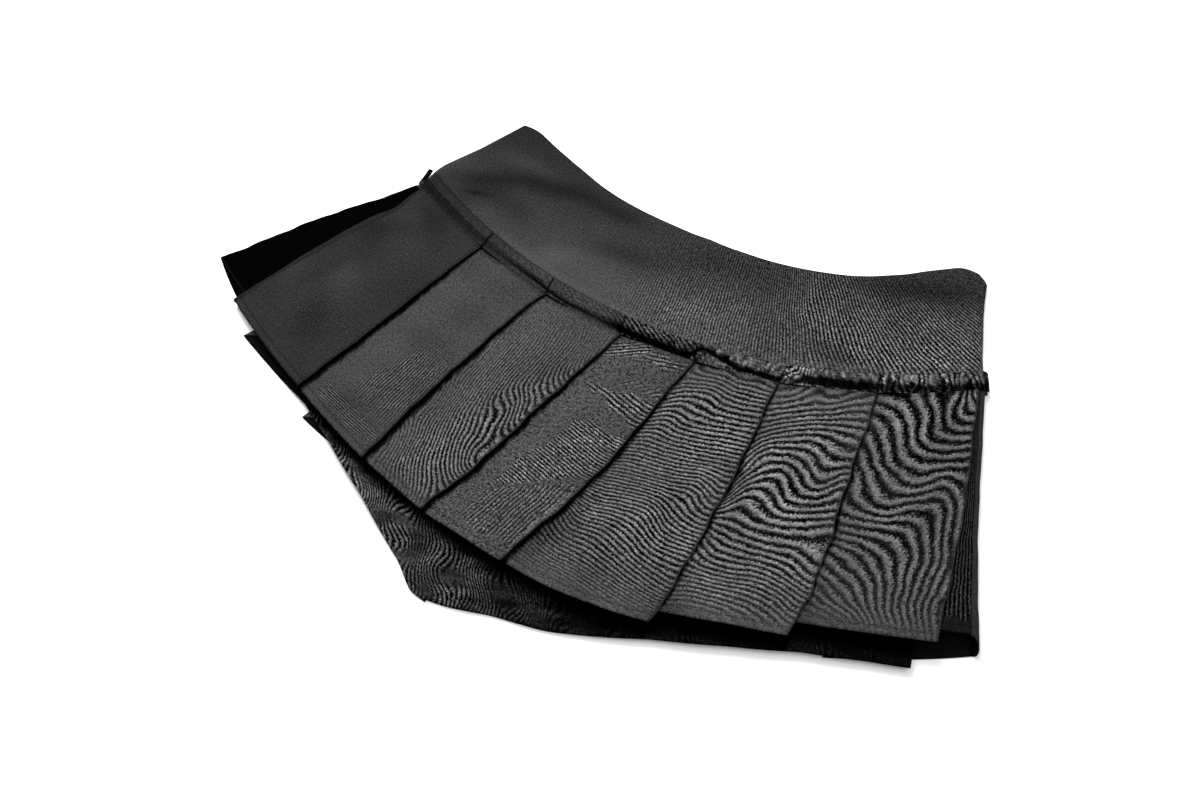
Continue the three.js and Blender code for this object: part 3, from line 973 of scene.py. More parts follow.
    def pleats(
        self, folds: list[FoldRow], at: np.ndarray, v: np.ndarray, level: np.ndarray | float
    ) -> tuple[list[Stretch], np.ndarray]:
        """All the whole pleats from left to right, each a face with its turn back.

        Args:
            folds: The fold lines.
            at: The angle at which the first face starts.
            v: Places down the panel.
            level: The height at which the first face starts, above the base.

        Returns:
            The stretches, and the angle at which the next face starts.
        """
        made: list[Stretch] = []
        for i in range(1, len(folds) - 1):
            made.append(self.face(i, folds[i - 1], folds[i], at, v, level if i == 1 else 0.0))
            made += self.turn_back(i, folds[i], folds[i + 1], v)
            at = folds[i].turned(-folds[i].depth + self.inner(v))
        return made, at

    def rise(self, v: np.ndarray) -> np.ndarray:
        """How far a face's fold stands above the next face: pressed flatter at the band."""
        return mix(2.0, self.face_rise, smooth(v / 0.12))

    def inner(self, v: np.ndarray) -> np.ndarray:
        """The inner fold's radius: half of what is left under the return."""
        return np.minimum(self.inner_turn, (self.rise(v) - self.return_drop) / 2.0)

    def dark(self, angle: np.ndarray, height: np.ndarray, fold: FoldRow, tone: float) -> Stretch:
        """A stretch of hidden or turned cloth with no ripple, its tone darkened as painted shade.

        Args:
            angle: Its angles.
            height: Its heights.
            fold: The fold whose radius it has.
            tone: Its tone, as a part of the panel's: painted shade.

        Returns:
            The stretch.
        """
        shape = 0.0 * angle
        cloth_tone = shape + tone * self.tone
        return Stretch(angle, fold.radius + shape, height + shape, shape, shape.copy(), cloth_tone, shape + 0.2)

    def join(self, v: np.ndarray, stretches: list[Stretch]) -> Cloth:
        """Puts the stretches side by side and sets the thickness, the hem's turning and the cloth's own map.

        Args:
            v: Places down the panel.
            stretches: The section's stretches from the left.

        Returns:
            The sheet.
        """
        parts = {
            key: np.concatenate([getattr(s, key) + 0.0 * v for s in stretches], axis=1)
            for key in ("angle", "radius", "height", "phase", "ripple", "tone", "fleck")
        }
        angle = -parts["angle"][:, ::-1] if self.mirrored else parts["angle"]
        other = {key: value[:, ::-1] if self.mirrored else value for key, value in parts.items()}
        middle = on_fan(angle, other["radius"], other["height"])
        sheet = Cloth.plain(middle, self.thickness, 1.0, self.under_tone)
        from_hem = (1.0 - v) * (sheet.down[-1:, :])
        turned = 1.0 - smooth((from_hem - self.hem_width) / 0.8 + 0.5)
        sheet.thickness = self.thickness + 0.42 * turned
        sheet.phase, sheet.ripple = other["phase"], other["ripple"] * (1.0 - 0.5 * turned)
        # painted shade in the hem stitches' groove and on the hem's rounded edge, and painted light on the turned
        # strip between them
        seam = 1.0 - 0.2 * bell(from_hem - self.hem_stitch, 0.7) - 0.3 * bell(from_hem, 0.6)
        seam = seam + 0.1 * bell(from_hem - self.hem_stitch / 2.0, 1.2)
        sheet.tone, sheet.fleck = other["tone"] * seam, other["fleck"]
        sheet.hem = from_hem
        return sheet


@dataclass
class FrontPleats(PleatedPanel):
    """The front panel, whose folds point right. Its left side turns down and its right side rolls under."""

    left_foot: float = 3.3
    side_rise: float = 1.7
    right_foot: float = 1.75
    roll_reach: float = 10.5

    def sheet(self) -> Cloth:
        """Lays out the whole panel.

        Returns:
            The sheet.
        """
        v = self.rows()
        folds = self.fold_rows(v)
        first, last = folds[0], folds[-1]
        rise = 2.4 + 1.6 * np.sin(3.3 * v + 0.4) * smooth(v * 3.0)
        low = self.left_foot
        turn = across(0.0, 90.0, 8) * np.radians(1.0)
        height = low + (first.base + self.side_rise - low) * np.sin(turn)
        side = first.turned(self.thickness / 2 + 2.0 * rise * (1.0 - np.cos(turn)))
        # painted shade on the turned-down left side
        start = self.dark(side, height, first, 0.3)
        stretches, at = self.pleats(folds, start.angle[:, -1:], v, self.side_rise)
        return self.join(v, [start, *stretches, *self.roll(folds[-2], last, at, v)])

    def roll(self, before: FoldRow, last: FoldRow, at: np.ndarray, v: np.ndarray) -> list[Stretch]:
        """The narrow last pleat: level from its inner fold to the side, then half round and under.

        Args:
            before: The last fold line.
            last: The side edge.
            at: The angle at which the stretch starts.
            v: Places down the panel.

        Returns:
            The level stretch and the roll.
        """
        radius = (last.base - self.right_foot) / 2.0
        t = across(0.0, 1.0, 30)
        angle = mix(at, last.turned(-self.thickness / 2 - radius), t)
        u = np.clip((angle - before.angle) / (last.angle - before.angle), 0.0, 1.0)
        # the last pleat's tone is its fold's painted shade
        flat = self.dark(angle, mix(before.base, last.base, u), last, self.folds[-1].tone)
        flat.radius = mix(before.under, last.radius, u)
        flat.phase, flat.ripple = RIPPLES[8].at(u, v)
        flat.fleck = flat.fleck + self.folds[-1].fleck
        t = across(0.0, 1.0, 18)
        turn = np.radians(mix(84.0, -66.0, t))
        side = last.turned(-self.thickness / 2 - radius + radius * np.cos(turn))
        # painted shade on the cloth rolled under
        under = self.dark(side, last.base - radius + radius * np.sin(turn), last, 0.5)
        under.radius = under.radius + self.roll_reach * v**4 * smooth(t * 1.1)
        return [flat, under]


@dataclass
class BackPleats(PleatedPanel):
    """The back panel, laid out mirrored and upside down: its faces are on the table and its folds point left."""

    def sheet(self) -> Cloth:
        """Lays out the whole panel.

        Returns:
            The sheet.
        """
        v = self.rows()
        folds = self.fold_rows(v)
        side, flap = folds[0], folds[-1]
        stretches, at = self.pleats(folds, side.turned(self.thickness + 0.0 * v), v, self.rise(v))
        i = len(folds) - 1
        stretches.append(self.face(i, folds[i - 1], flap, at, v, 0.0))
        stretches += self.crossing(flap, v)
        sheet = self.join(v, stretches)
        flap_width = sum(stretch.angle.shape[1] for stretch in stretches[-2:])
        flap_columns = np.arange(sheet.tone.shape[1])[None, :] < flap_width
        # painted shade: the flap's upward side is nearly black, with a thin painted highlight along its hem
        sheet.under_tone = np.where(flap_columns, 0.02 + 0.1 * bell(sheet.hem, 0.8), self.under_tone)
        height = sheet.middle[..., 2]
        sheet.middle[..., 2] = self.base + (self.base + self.face_rise - height)
        sheet.middle[..., 2] = np.maximum(sheet.middle[..., 2], sheet.thickness / 2.0)
        return sheet


@dataclass
class Yoke:
    """The wide curved waist piece, front and back.

    left and right are the side edges' angles at the radii edges_at, waist_line is the waist edge's radius at some
    angles, and each rounded corner has its width in degrees and its drop. swells shape the front, and painted_shades
    are soft patches of painted light and shade on it.
    """

    left: tuple[float, ...] = (-32.35, -32.33, -32.3, -32.1, -32.25, -32.0)
    right: tuple[float, ...] = (35.8, 36.2, 36.2, 34.25, 32.6, 32.2)
    edges_at: tuple[float, ...] = (319.0, 324.0, 328.0, 362.0, 395.0, 407.0)
    waist_line: tuple[tuple[float, float], ...] = (
        (-33.0, 317.6), (-28.0, 316.4), (-24.0, 315.7), (-20.7, 315.6), (-17.0, 316.7), (-14.0, 316.8),
        (-11.0, 316.3), (-8.0, 315.7), (-5.0, 315.2), (-2.5, 315.4), (0.0, 314.8), (2.5, 316.1), (5.0, 316.7),
        (7.5, 317.8), (10.0, 318.6), (13.0, 319.3), (17.0, 320.0), (19.5, 320.3), (22.0, 319.7), (24.0, 318.7),
        (26.5, 317.9), (29.0, 316.1), (31.4, 315.8), (33.5, 316.0), (37.0, 316.5),
    )
    corner_width: float = 3.2
    left_drop: float = 6.0
    right_drop: float = 11.0
    width: float = 87.0
    waist_height: float = 3.4
    seam_height: float = 10.0
    foot: float = 1.9
    thickness: float = 0.9
    swells: tuple[Swell, ...] = (
        Swell(-118.0, 142.0, 46.0, 15.0, -62.0, 1.1),
        Swell(-92.0, 118.0, 52.0, 13.0, -48.0, -1.3),
        Swell(-64.0, 92.0, 44.0, 13.0, -30.0, 1.2),
        Swell(-58.0, 122.0, 34.0, 12.0, 8.0, -0.9),
        Swell(-20.0, 104.0, 42.0, 12.0, -16.0, -1.0),
        Swell(-14.0, 78.0, 50.0, 14.0, -4.0, 0.9),
        Swell(40.0, 104.0, 50.0, 14.0, 8.0, -0.7),
        Swell(72.0, 86.0, 56.0, 14.0, 14.0, 0.9),
        Swell(150.0, 128.0, 48.0, 15.0, 34.0, 1.0),
        Swell(178.0, 158.0, 40.0, 13.0, 40.0, -0.9),
    )
    # soft patches of painted light and shade, added to the yoke's tone
    painted_shades: tuple[Swell, ...] = (
        Swell(-124.0, 150.0, 24.0, 8.0, -4.0, 0.2),
        Swell(-152.0, 121.0, 34.0, 9.0, 24.0, -0.24),
        Swell(-96.0, 137.0, 34.0, 9.0, 12.0, -0.2),
        Swell(-46.0, 136.0, 26.0, 7.0, -3.0, -0.2),
        Swell(-152.0, 104.0, 22.0, 12.0, 30.0, -0.24),
        Swell(-149.0, 106.0, 9.0, 2.0, 12.0, -0.16),
        Swell(-112.0, 100.0, 34.0, 13.0, -30.0, -0.12),
        Swell(-122.0, 106.0, 24.0, 10.0, -10.0, -0.12),
        Swell(-24.0, 102.0, 32.0, 10.0, 4.0, -0.28),
        Swell(-71.0, 77.0, 15.0, 9.0, 24.0, 0.34),
        Swell(-12.0, 70.0, 30.0, 9.0, 3.0, 0.14),
        Swell(44.0, 126.0, 38.0, 10.0, 14.0, -0.14),
        Swell(43.0, 72.0, 34.0, 12.0, 2.0, 0.24),
        Swell(188.0, 164.0, 44.0, 13.0, 16.0, -0.3),
        Swell(149.0, 84.0, 24.0, 8.0, 0.0, -0.34),
        Swell(97.0, 76.0, 12.0, 24.0, 0.0, -0.14),
    )

    def sides(self, radius: np.ndarray) -> tuple[np.ndarray, np.ndarray]:
        """The angles of the left and right side edges at a radius."""
        return np.interp(radius, self.edges_at, self.left), np.interp(radius, self.edges_at, self.right)

    def waist(self, angle: np.ndarray) -> np.ndarray:
        """The waist edge's radius: a wavering line that turns in at the rounded corners."""
        left = self.left_drop * np.clip(1.0 - (angle - self.left[0]) / self.corner_width, 0.0, 1.0) ** 2
        from_right = self.right[0] + 0.4 - angle
        right = self.right_drop * np.clip(1.0 - from_right / self.corner_width, 0.0, 1.0) ** 2
        return curve(angle, self.waist_line) + left + right

    def grid(self, columns: int) -> tuple[np.ndarray, np.ndarray, np.ndarray]:
        """Places over the yoke: rows from the waist to the band, and columns that crowd towards the sides.

        Args:
            columns: The number of columns.

        Returns:
            v, the angles and the radii.
        """
        from_waist, to_band = [0.0, 0.004, 0.012, 0.025, 0.045], [0.975, 0.99, 1.0]
        v = np.concatenate([from_waist, np.linspace(0.07, 0.96, 66), to_band])[:, None]
        t = mix(0.5 - 0.5 * np.cos(across(0.0, math.pi, columns)), across(0.0, 1.0, columns), 0.6)
        level = mix(YOKE_TOP, YOKE_END, v)
        left, right = self.sides(level)
        inset = np.degrees(self.thickness / 2.0 / level)
        angle = mix(left + inset, right - inset, t)
        radius = mix(self.waist(angle) + self.thickness / 2.0, YOKE_END - self.thickness / 2.0, v)
        return v, angle, radius

    def front(self) -> Cloth:
        """The front yoke: it climbs from the waist to the band, turns down at both sides, and swells softly.

        Returns:
            The sheet.
        """
        v, angle, radius = self.grid(340)
        left, right = self.sides(mix(YOKE_TOP, YOKE_END, v))
        from_side = span(np.minimum(angle - left, right - angle), radius)
        from_band = (1.0 - v) * self.width
        height = mix(self.waist_height, self.seam_height, smooth(v * 0.96 + 0.02)) + 0.0 * angle
        curl = rounded(from_side, (height - self.foot) * 1.25 + 0.6)
        x, y = plan(angle, radius)
        inner = smooth(from_side / 16.0) * smooth(v * 7.0 + 0.1) * smooth((1.0 - v) * 9.0 + 0.15)
        height = height + inner * (swollen(self.swells, x, y) + 0.35 * rumple(x, y, 70.0, 3))
        height = self.foot + (height - self.foot) * curl - 0.7 * bell(from_band, 2.2)
        sheet = Cloth.plain(on_fan(angle, radius, height), self.thickness, 1.0)
        sheet.phase = self.ribs(angle, radius) + 0.3 * rumple(x, y, 34.0, 8)
        strong = Swell(172.0, 118.0, 76.0, 28.0, -7.0, 1.7).at(x, y)
        low = 0.62 * smooth((angle + 9.0) / 9.0) * mix(0.35, 1.0, smooth((radius - 335.0) / 35.0))
        sheet.ripple = np.minimum(low + strong, 1.25) * mix(1.0, 0.5, smooth((v - 0.9) / 0.08))
        # painted shade: the yoke is darker towards the waist and towards its left side
        sheet.tone = mix(0.58, 1.0, smooth((v - 0.15) / 0.75)) * mix(0.62, 0.95, smooth((angle + 30.0) / 26.0))
        # painted light and shade: a ragged line of lighter and darker cloth just above the band on the right
        # (painted_brink), a painted highlight along the seam (edge), and the patches of painted_shades
        rough = rumple(x, y, 11.0, 9)
        painted_brink = bell(from_band - 3.0 - 1.4 * rough, 2.0) * smooth((angle - 3.0) / 3.0)
        edge = bell(from_band - 1.5, 3.0) * smooth((angle + 24.0) / 6.0)
        sheet.tone = sheet.tone * (1.0 + 0.7 * painted_brink * rough + 0.35 * edge) + swollen(self.painted_shades, x, y)
        sheet.fleck = mix(0.25, 1.3, smooth((angle + 12.0) / 16.0)) + 0.0 * sheet.tone
        return sheet

    @staticmethod
    def ribs(angle: np.ndarray, radius: np.ndarray) -> np.ndarray:
        """The ripple's phase: lines counted from the left, which lean more towards the right side.

        Args:
            angle: Angles in degrees.
            radius: Radii in millimetres.

        Returns:
            The phase in turns.
        """
        lines = np.interp(angle, (-9.0, 14.0, 22.0, 37.0), (0.0, 71.0, 89.0, 121.0))
        lean = ((-9.0, 9.0), (-2.0, 3.0), (8.0, 1.0), (14.0, 6.0), (22.0, 10.0), (30.0, 15.0), (37.0, 21.0))
        return lines - np.interp(angle, *zip(*lean)) * (radius - 375.0) / 82.0

    def back(self) -> Cloth:
        """The back yoke, flat on the table.

        Returns:
            The sheet.
        """
        _, angle, radius = self.grid(150)
        lift = 0.12 * (1.0 + rumple(*plan(angle, radius), 60.0, 5))
        height = self.thickness / 2.0 + np.clip(lift, 0.0, 0.5)
        return Cloth.plain(on_fan(angle, radius, height), self.thickness, 0.7, 0.9)


@dataclass
class Band:
    """The narrow joining band between the yoke and the pleats, with a tuck where each front fold crosses it.

    The tables give a number at each angle along the front: how bunched the cloth is (bunching), the recess's place,
    width and painted shade (groove_middle, groove_width, groove_dark), the painted light and shade along the band
    (shade), how strong the ripple is (firmness), how many bars lie to the left (bars), and how many bars they lean by
    (bar_lean). A tuck is its angles at the pleats and at the yoke.
    """

    left: tuple[float, float] = (-31.8, -31.15)
    right: tuple[float, float] = (32.65, 32.25)
    back_left: tuple[float, float] = (-32.1, -31.95)
    height: float = 10.6
    foot: float = 1.9
    thickness: float = 0.9
    bunching: tuple[tuple[float, float], ...] = (
        (-31.0, 0.04), (-13.0, 0.08), (-5.0, 0.2), (-3.0, 0.5), (4.0, 0.6), (5.0, 1.0), (32.0, 1.0),
    )  # fmt: skip
    tucks: tuple[tuple[float, float], ...] = (
        (-20.7, -21.05), (-12.2, -12.6), (-3.6, -4.1), (4.0, 3.7), (12.2, 12.8), (21.4, 21.8),
    )  # fmt: skip
    groove_middle: tuple[tuple[float, float], ...] = (
        (-31.0, 0.74), (-20.0, 0.74), (-17.0, 0.68), (-13.5, 0.68), (-12.4, 0.8), (-10.0, 0.86), (-6.0, 0.8),
        (-4.2, 0.76), (-3.4, 0.78), (0.0, 0.84), (3.4, 0.82), (4.2, 0.2), (5.5, 0.26), (6.7, 0.5), (8.0, 0.74),
        (9.8, 0.8), (11.0, 0.86), (11.9, 0.92), (12.6, 0.95), (13.8, 0.85), (15.0, 0.62), (17.5, 0.66),
        (21.0, 0.72), (22.0, 0.78), (29.0, 0.84), (33.0, 0.9),
    )
    groove_width: tuple[tuple[float, float], ...] = (
        (-31.0, 0.22), (-24.0, 0.16), (-17.0, 0.07), (-14.0, 0.12), (-12.5, 0.1), (-8.0, 0.1), (-5.0, 0.2),
        (-3.4, 0.26), (3.4, 0.28), (4.2, 0.12), (8.0, 0.17), (11.9, 0.14), (12.8, 0.12), (14.0, 0.16), (15.2, 0.26),
        (20.8, 0.28), (21.8, 0.22), (33.0, 0.2),
    )
    groove_dark: tuple[tuple[float, float], ...] = (
        (-31.0, 0.45), (-24.0, 0.32), (-18.5, 0.3), (-16.5, 0.85), (-13.0, 0.99), (-9.0, 0.97), (-6.5, 0.7),
        (-4.0, 0.98), (11.8, 0.98), (12.6, 0.6), (14.0, 0.85), (15.2, 0.98), (21.0, 0.98), (22.0, 0.88),
        (33.0, 0.88),
    )
    shade: tuple[tuple[float, float], ...] = (
        (-31.0, 0.32), (-22.0, 0.4), (-14.0, 0.6), (-6.0, 0.68), (-4.0, 0.44), (2.5, 0.44), (3.8, 0.4), (4.6, 0.65),
        (6.5, 1.2), (8.5, 1.7), (11.5, 1.4), (12.4, 0.9), (13.2, 1.55), (15.5, 1.5), (20.8, 1.4), (22.0, 1.15),
        (27.0, 1.0), (33.0, 0.6),
    )
    firmness: tuple[tuple[float, float], ...] = (
        (-31.0, 0.0), (-8.0, 0.1), (-4.4, 0.2), (-3.4, 1.1), (3.6, 1.1), (4.6, 0.3), (12.0, 0.35), (12.8, 0.95),
        (14.5, 0.9), (16.0, 0.4), (20.5, 0.4), (22.0, 0.95), (33.0, 0.9),
    )
    bars: tuple[tuple[float, float], ...] = (
        (-31.0, -26.0), (-5.0, 0.0), (4.0, 13.0), (12.4, 21.0), (14.0, 22.5), (15.5, 26.5), (21.5, 33.0),
        (24.0, 36.0), (28.0, 41.0), (33.0, 49.0),
    )
    bar_lean: tuple[tuple[float, float], ...] = (
        (-31.0, 0.0), (-5.0, -4.5), (3.5, -4.0), (5.0, -2.0), (12.0, 2.0), (13.2, 2.5), (14.5, 1.2), (17.5, -1.6),
        (20.5, -1.2), (22.5, 0.2), (33.0, 0.3),
    )

    def sides(self, v: np.ndarray) -> tuple[np.ndarray, np.ndarray]:
        """The angles of the band's left and right ends at places down it."""
        return mix(*self.left, v), mix(*self.right, v)

    def grid(self, columns: int) -> tuple[np.ndarray, np.ndarray, np.ndarray]:
        """Places over the band.

        Args:
            columns: The number of columns.

        Returns:
            v, the angles and the radii.
        """
        v = np.linspace(0.0, 1.0, 36)[:, None]
        inset = np.degrees(self.thickness / 2.0 / BAND_START)
        left, right = self.sides(v)
        angle = mix(left + inset, right - inset, across(0.0, 1.0, columns))
        half = self.thickness / 2.0
        return v, angle, mix(BAND_START + half, BAND_END - half, v) + 0.0 * angle

    def front(self) -> Cloth:
        """The front band: a flat ridge along the yoke, a recess along the pleats darkened with painted shade, and
        bunching to the right.

        Returns:
            The sheet.
        """
        v, angle, radius = self.grid(900)
        left, right = self.sides(v)
        from_side = span(np.minimum(angle - left, right - angle), radius)
        curl = rounded(from_side, self.height - self.foot + 0.6)
        bunch = np.interp(angle, *np.array(self.bunching).T)
        x, y = plan(angle, radius)
        uneven, coarse, fine = rumple(x, y, 7.0, 31), rumple(x, y, 16.0, 32), rumple(x, y, 3.2, 33)
        middle = curve(angle, self.groove_middle) + 0.05 * bunch * coarse + 0.06 * bunch * uneven
        width = curve(angle, self.groove_width)
        groove = bell(v - middle, width)
        step = smooth((v - middle + 1.1 * width + 0.05) / 0.1)
        phase = curve(angle, self.bars) + curve(angle, self.bar_lean) * (v - 0.5)
        phase = phase + (0.5 * coarse + 0.2 * uneven) * bunch
        ridges = np.cos(2.0 * np.pi * phase)
        height = self.height + 0.7 * (1.0 - step) - 1.2 * groove - 0.9 * bell(v, 0.05)
        height = height + bunch * (0.28 * ridges * (1.0 - 0.6 * groove) + 0.3 * uneven)
        tuck_crease = np.zeros(angle.shape)
        for low, high in self.tucks:
            away = span(angle - mix(high, low, v), radius)
            reach = smooth((v - 0.02) / 0.1)
            tuck_crease = np.maximum(tuck_crease, bell(away, 0.75) * reach)
            height = height + 0.7 * reach * bell(np.minimum(away, 0.0) + 1.2, 2.2) * (away < 0.0)
        height = self.foot + (height - 1.2 * tuck_crease - self.foot) * curl
        sheet = Cloth.plain(on_fan(angle, radius, height), self.thickness, 1.0)
        sheet.phase = phase + 0.25
        sheet.ripple = curve(angle, self.firmness) * (1.0 - 0.6 * bunch * smooth(coarse)) + 0.0 * v
        # painted shade in the recess (trough) and along the band's top edge next to the yoke
        trough = np.clip(groove * (1.0 + bunch), 0.0, 1.0)
        dark = (1.0 - curve(angle, self.groove_dark) * trough) * (1.0 - 0.5 * bell(v, 0.05))
        # a painted shadow line at the ridge's step on the left
        line = 1.0 - 0.5 * bell(v - 0.53, 0.03) * smooth((-11.0 - angle) / 3.0)
        # painted light and shade on the bunched lumps (blots), painted shade in the tucks, and painted shade over the
        # band's part nearest the pleats
        lumps = 0.45 * uneven + 0.3 * coarse + 0.6 * fine
        blots = np.clip(1.0 + mix(0.12, 1.2, bunch) * lumps, 0.03, 2.0)
        shade_below = mix(1.0, 0.8, smooth((v - 0.5) / 0.3))
        sheet.tone = dark * line * curve(angle, self.shade) * blots * (1.0 - 0.97 * tuck_crease) * shade_below
        sheet.fleck = mix(0.3, 1.0, smooth((angle + 24.0) / 18.0)) + 0.0 * v
        return sheet

    def back(self) -> Cloth:
        """The back band, flat on the table.

        Returns:
            The sheet.
        """
        v, angle, radius = self.grid(160)
        beyond = mix(*self.back_left, v) - mix(*self.left, v)
        angle = angle + beyond * smooth((-20.0 - angle) / 10.0)
        height = self.thickness / 2.0 + 0.25 * bell(v - 0.3, 0.26)
        return Cloth.plain(on_fan(angle, radius, height), self.thickness, 0.7, 0.9)


@dataclass
class Shorts:
    """The four shorts panels. Each is ruled from its top edge to its leg hem, and the legs come down to the table.

    heights are a panel's at its top, over its body and at its leg. skirt_hem is the front pleats' hem, whose shade
    falls on the legs.
    """

    top_radius: float = 409.0
    left: float = -28.2
    centre: float = 0.5
    right: float = 28.6
    thickness: float = 0.6
    drop_from: float = 613.0
    drop_to: float = 647.0
    front_heights: tuple[float, float, float] = (8.8, 6.9, 2.0)
    back_heights: tuple[float, float, float] = (2.4, 5.5, 0.35)
    hem_width: float = 10.0
    left_hem: tuple[tuple[float, float], ...] = (
        (-27.0, 577.0), (-17.1, 602.0), (-12.6, 618.6), (-8.1, 640.9), (-6.5, 654.0), (-5.4, 655.5),
    )  # fmt: skip
    right_hem: tuple[tuple[float, float], ...] = (
        (-5.36, 653.9), (-4.2, 651.8), (-1.6, 643.6), (1.6, 639.2), (7.5, 623.0), (12.0, 615.6), (16.2, 611.4),
        (20.0, 613.0), (22.6, 616.2),
    )  # fmt: skip
    skirt_hem: tuple[tuple[float, float], ...] = (
        (-29.8, 582.0), (-20.9, 590.0), (-14.0, 599.0), (-8.7, 606.0), (-2.6, 611.5), (2.4, 615.6), (7.1, 615.8),
        (7.2, 606.0), (15.4, 605.1), (15.5, 595.0), (24.1, 602.3),
    )  # fmt: skip

    def sheet(self, left: bool, front: bool) -> Cloth:
        """One panel.

        Args:
            left: Whether it is a left panel.
            front: Whether it is a front panel.

        Returns:
            The sheet.
        """
        table = np.array(self.left_hem if left else self.right_hem)
        from_hem = np.array([0.0, 0.4, 1.0, 2.0, 4.0, 6.0, 8.0, 9.5, 10.5, 12.0, 14.0])
        to_hem = 1.0 - from_hem[::-1] / 210.0
        between = np.linspace(0.075, to_hem[0] - 0.01, 70)
        v = np.concatenate([[0.0, 0.012, 0.03, 0.055], between, to_hem])[:, None]
        u = across(0.0, 1.0, 150)
        hem_line = self.smoothed(table)
        hem_angle = mix(table[0, 0], table[-1, 0], u)
        top_angle = mix(self.left, self.centre - 0.02, u) if left else mix(self.centre + 0.02, self.right, u)
        start = on_fan(top_angle, self.top_radius + self.thickness / 2, 0.0)
        end = on_fan(hem_angle, np.interp(hem_angle, *hem_line.T) - self.thickness / 2, 0.0)
        flat = mix(start, end, v[..., None])
        x, y = flat[..., 0], flat[..., 1]
        radius = np.hypot(x - FAN_X, FAN_Y - y)
        top, body, leg = self.front_heights if front else self.back_heights
        height = mix(top, body, smooth(v / 0.055)) + 0.0 * u
        height = mix(height, leg, smooth((radius - self.drop_from) / (self.drop_to - self.drop_from)))
        if front:
            height = height + self.creases(x, y, radius)
        sheet = Cloth.plain(np.stack([x, y, height], axis=-1), self.thickness, 1.0)
        sheet.hem = (1.0 - v) * sheet.down[-1:, :]
        turned = 1.0 - smooth((sheet.hem - self.hem_width) / 0.8 + 0.5)
        sheet.thickness = self.thickness + 0.35 * turned
        sheet.middle[..., 2] = np.maximum(sheet.middle[..., 2], sheet.thickness / 2.0)
        self.colour(sheet, x, y, radius)
        return sheet

    def colour(self, sheet: Cloth, x: np.ndarray, y: np.ndarray, radius: np.ndarray) -> None:
        """Sets what the finish reads: fine waves, painted shade that deepens to the right, streaks, and the painted
        shade under the skirt's hem.

        Args:
            sheet: The panel.
            x: Places' x in millimetres.
            y: Places' y in millimetres.
            radius: Their radii.
        """
        angle = np.degrees(np.arctan2(x - FAN_X, FAN_Y - y))
        beyond = radius - np.interp(angle, *np.array(self.skirt_hem).T)
        shadow = smooth((beyond - 3.0) / np.interp(angle, (-20.0, -8.0, 4.0, 20.0), (5.0, 12.0, 16.0, 12.0)))
        sheet.phase = (0.92 * x + 0.35 * y) / 2.7 + 1.7 * rumple(x, y, 26.0, 11)
        calm = smooth(0.75 + 0.8 * rumple(x, y, 22.0, 12))
        sheet.ripple = np.interp(angle, (-20.0, -8.0, -2.0, 3.0, 24.0), (1.3, 1.3, 1.0, 0.5, 0.4)) * calm
        # painted shade: the shorts are darker towards the right, under the pleats' high hems
        shade_to_right = np.interp(angle, (-22.0, -9.0, -4.0, 3.0, 24.0), (1.1, 0.9, 0.5, 0.14, 0.1))
        streak = 0.5 * rumple(0.3 * x + y, 4.0 * y - x, 26.0, 14)
        blots = np.clip(1.0 + 0.4 * rumple(x, y, 20.0, 13) + streak, 0.15, 2.0)
        sheet.tone = mix(0.03, 1.0, shadow) * shade_to_right * blots
        sheet.fleck = np.full(x.shape, 1.2)

    @staticmethod
    def smoothed(table: np.ndarray) -> np.ndarray:
        """A hem table with its bends rounded, by averaging its line over a couple of degrees.

        Args:
            table: Rows of angle and radius.

        Returns:
            A fine table of the same line.
        """
        angle = np.linspace(table[0, 0], table[-1, 0], 241)
        radius = np.interp(angle, *table.T)
        pad = 8
        before, after = 2 * radius[0] - radius[pad:0:-1], 2 * radius[-1] - radius[-2 : -pad - 2 : -1]
        padded = np.concatenate([before, radius, after])
        kernel = np.hanning(2 * pad + 1)
        return np.stack([angle, np.convolve(padded, kernel / kernel.sum(), mode="valid")], axis=-1)

    @staticmethod
    def creases(x: np.ndarray, y: np.ndarray, radius: np.ndarray) -> np.ndarray:
        """The front's folds past the hem: a hollow up from the crotch, and soft creases that fan out from it.

        Args:
            x: Places' x in millimetres.
            y: Places' y in millimetres.
            radius: Their radii.

        Returns:
            Heights to add.
        """
        creases = (
            Swell(-33.0, -178.0, 26.0, 3.5, 68.0, -1.6),
            Swell(-50.0, -172.0, 22.0, 5.0, 40.0, 0.9),
            Swell(-12.0, -176.0, 26.0, 6.0, 110.0, 0.9),
            Swell(-72.0, -158.0, 30.0, 5.0, 52.0, -0.7),
            Swell(28.0, -172.0, 34.0, 6.0, 150.0, -0.6),
        )
        return smooth((radius - 600.0) / 20.0) * (swollen(creases, x, y) + 0.3 * rumple(x, y, 26.0, 17))


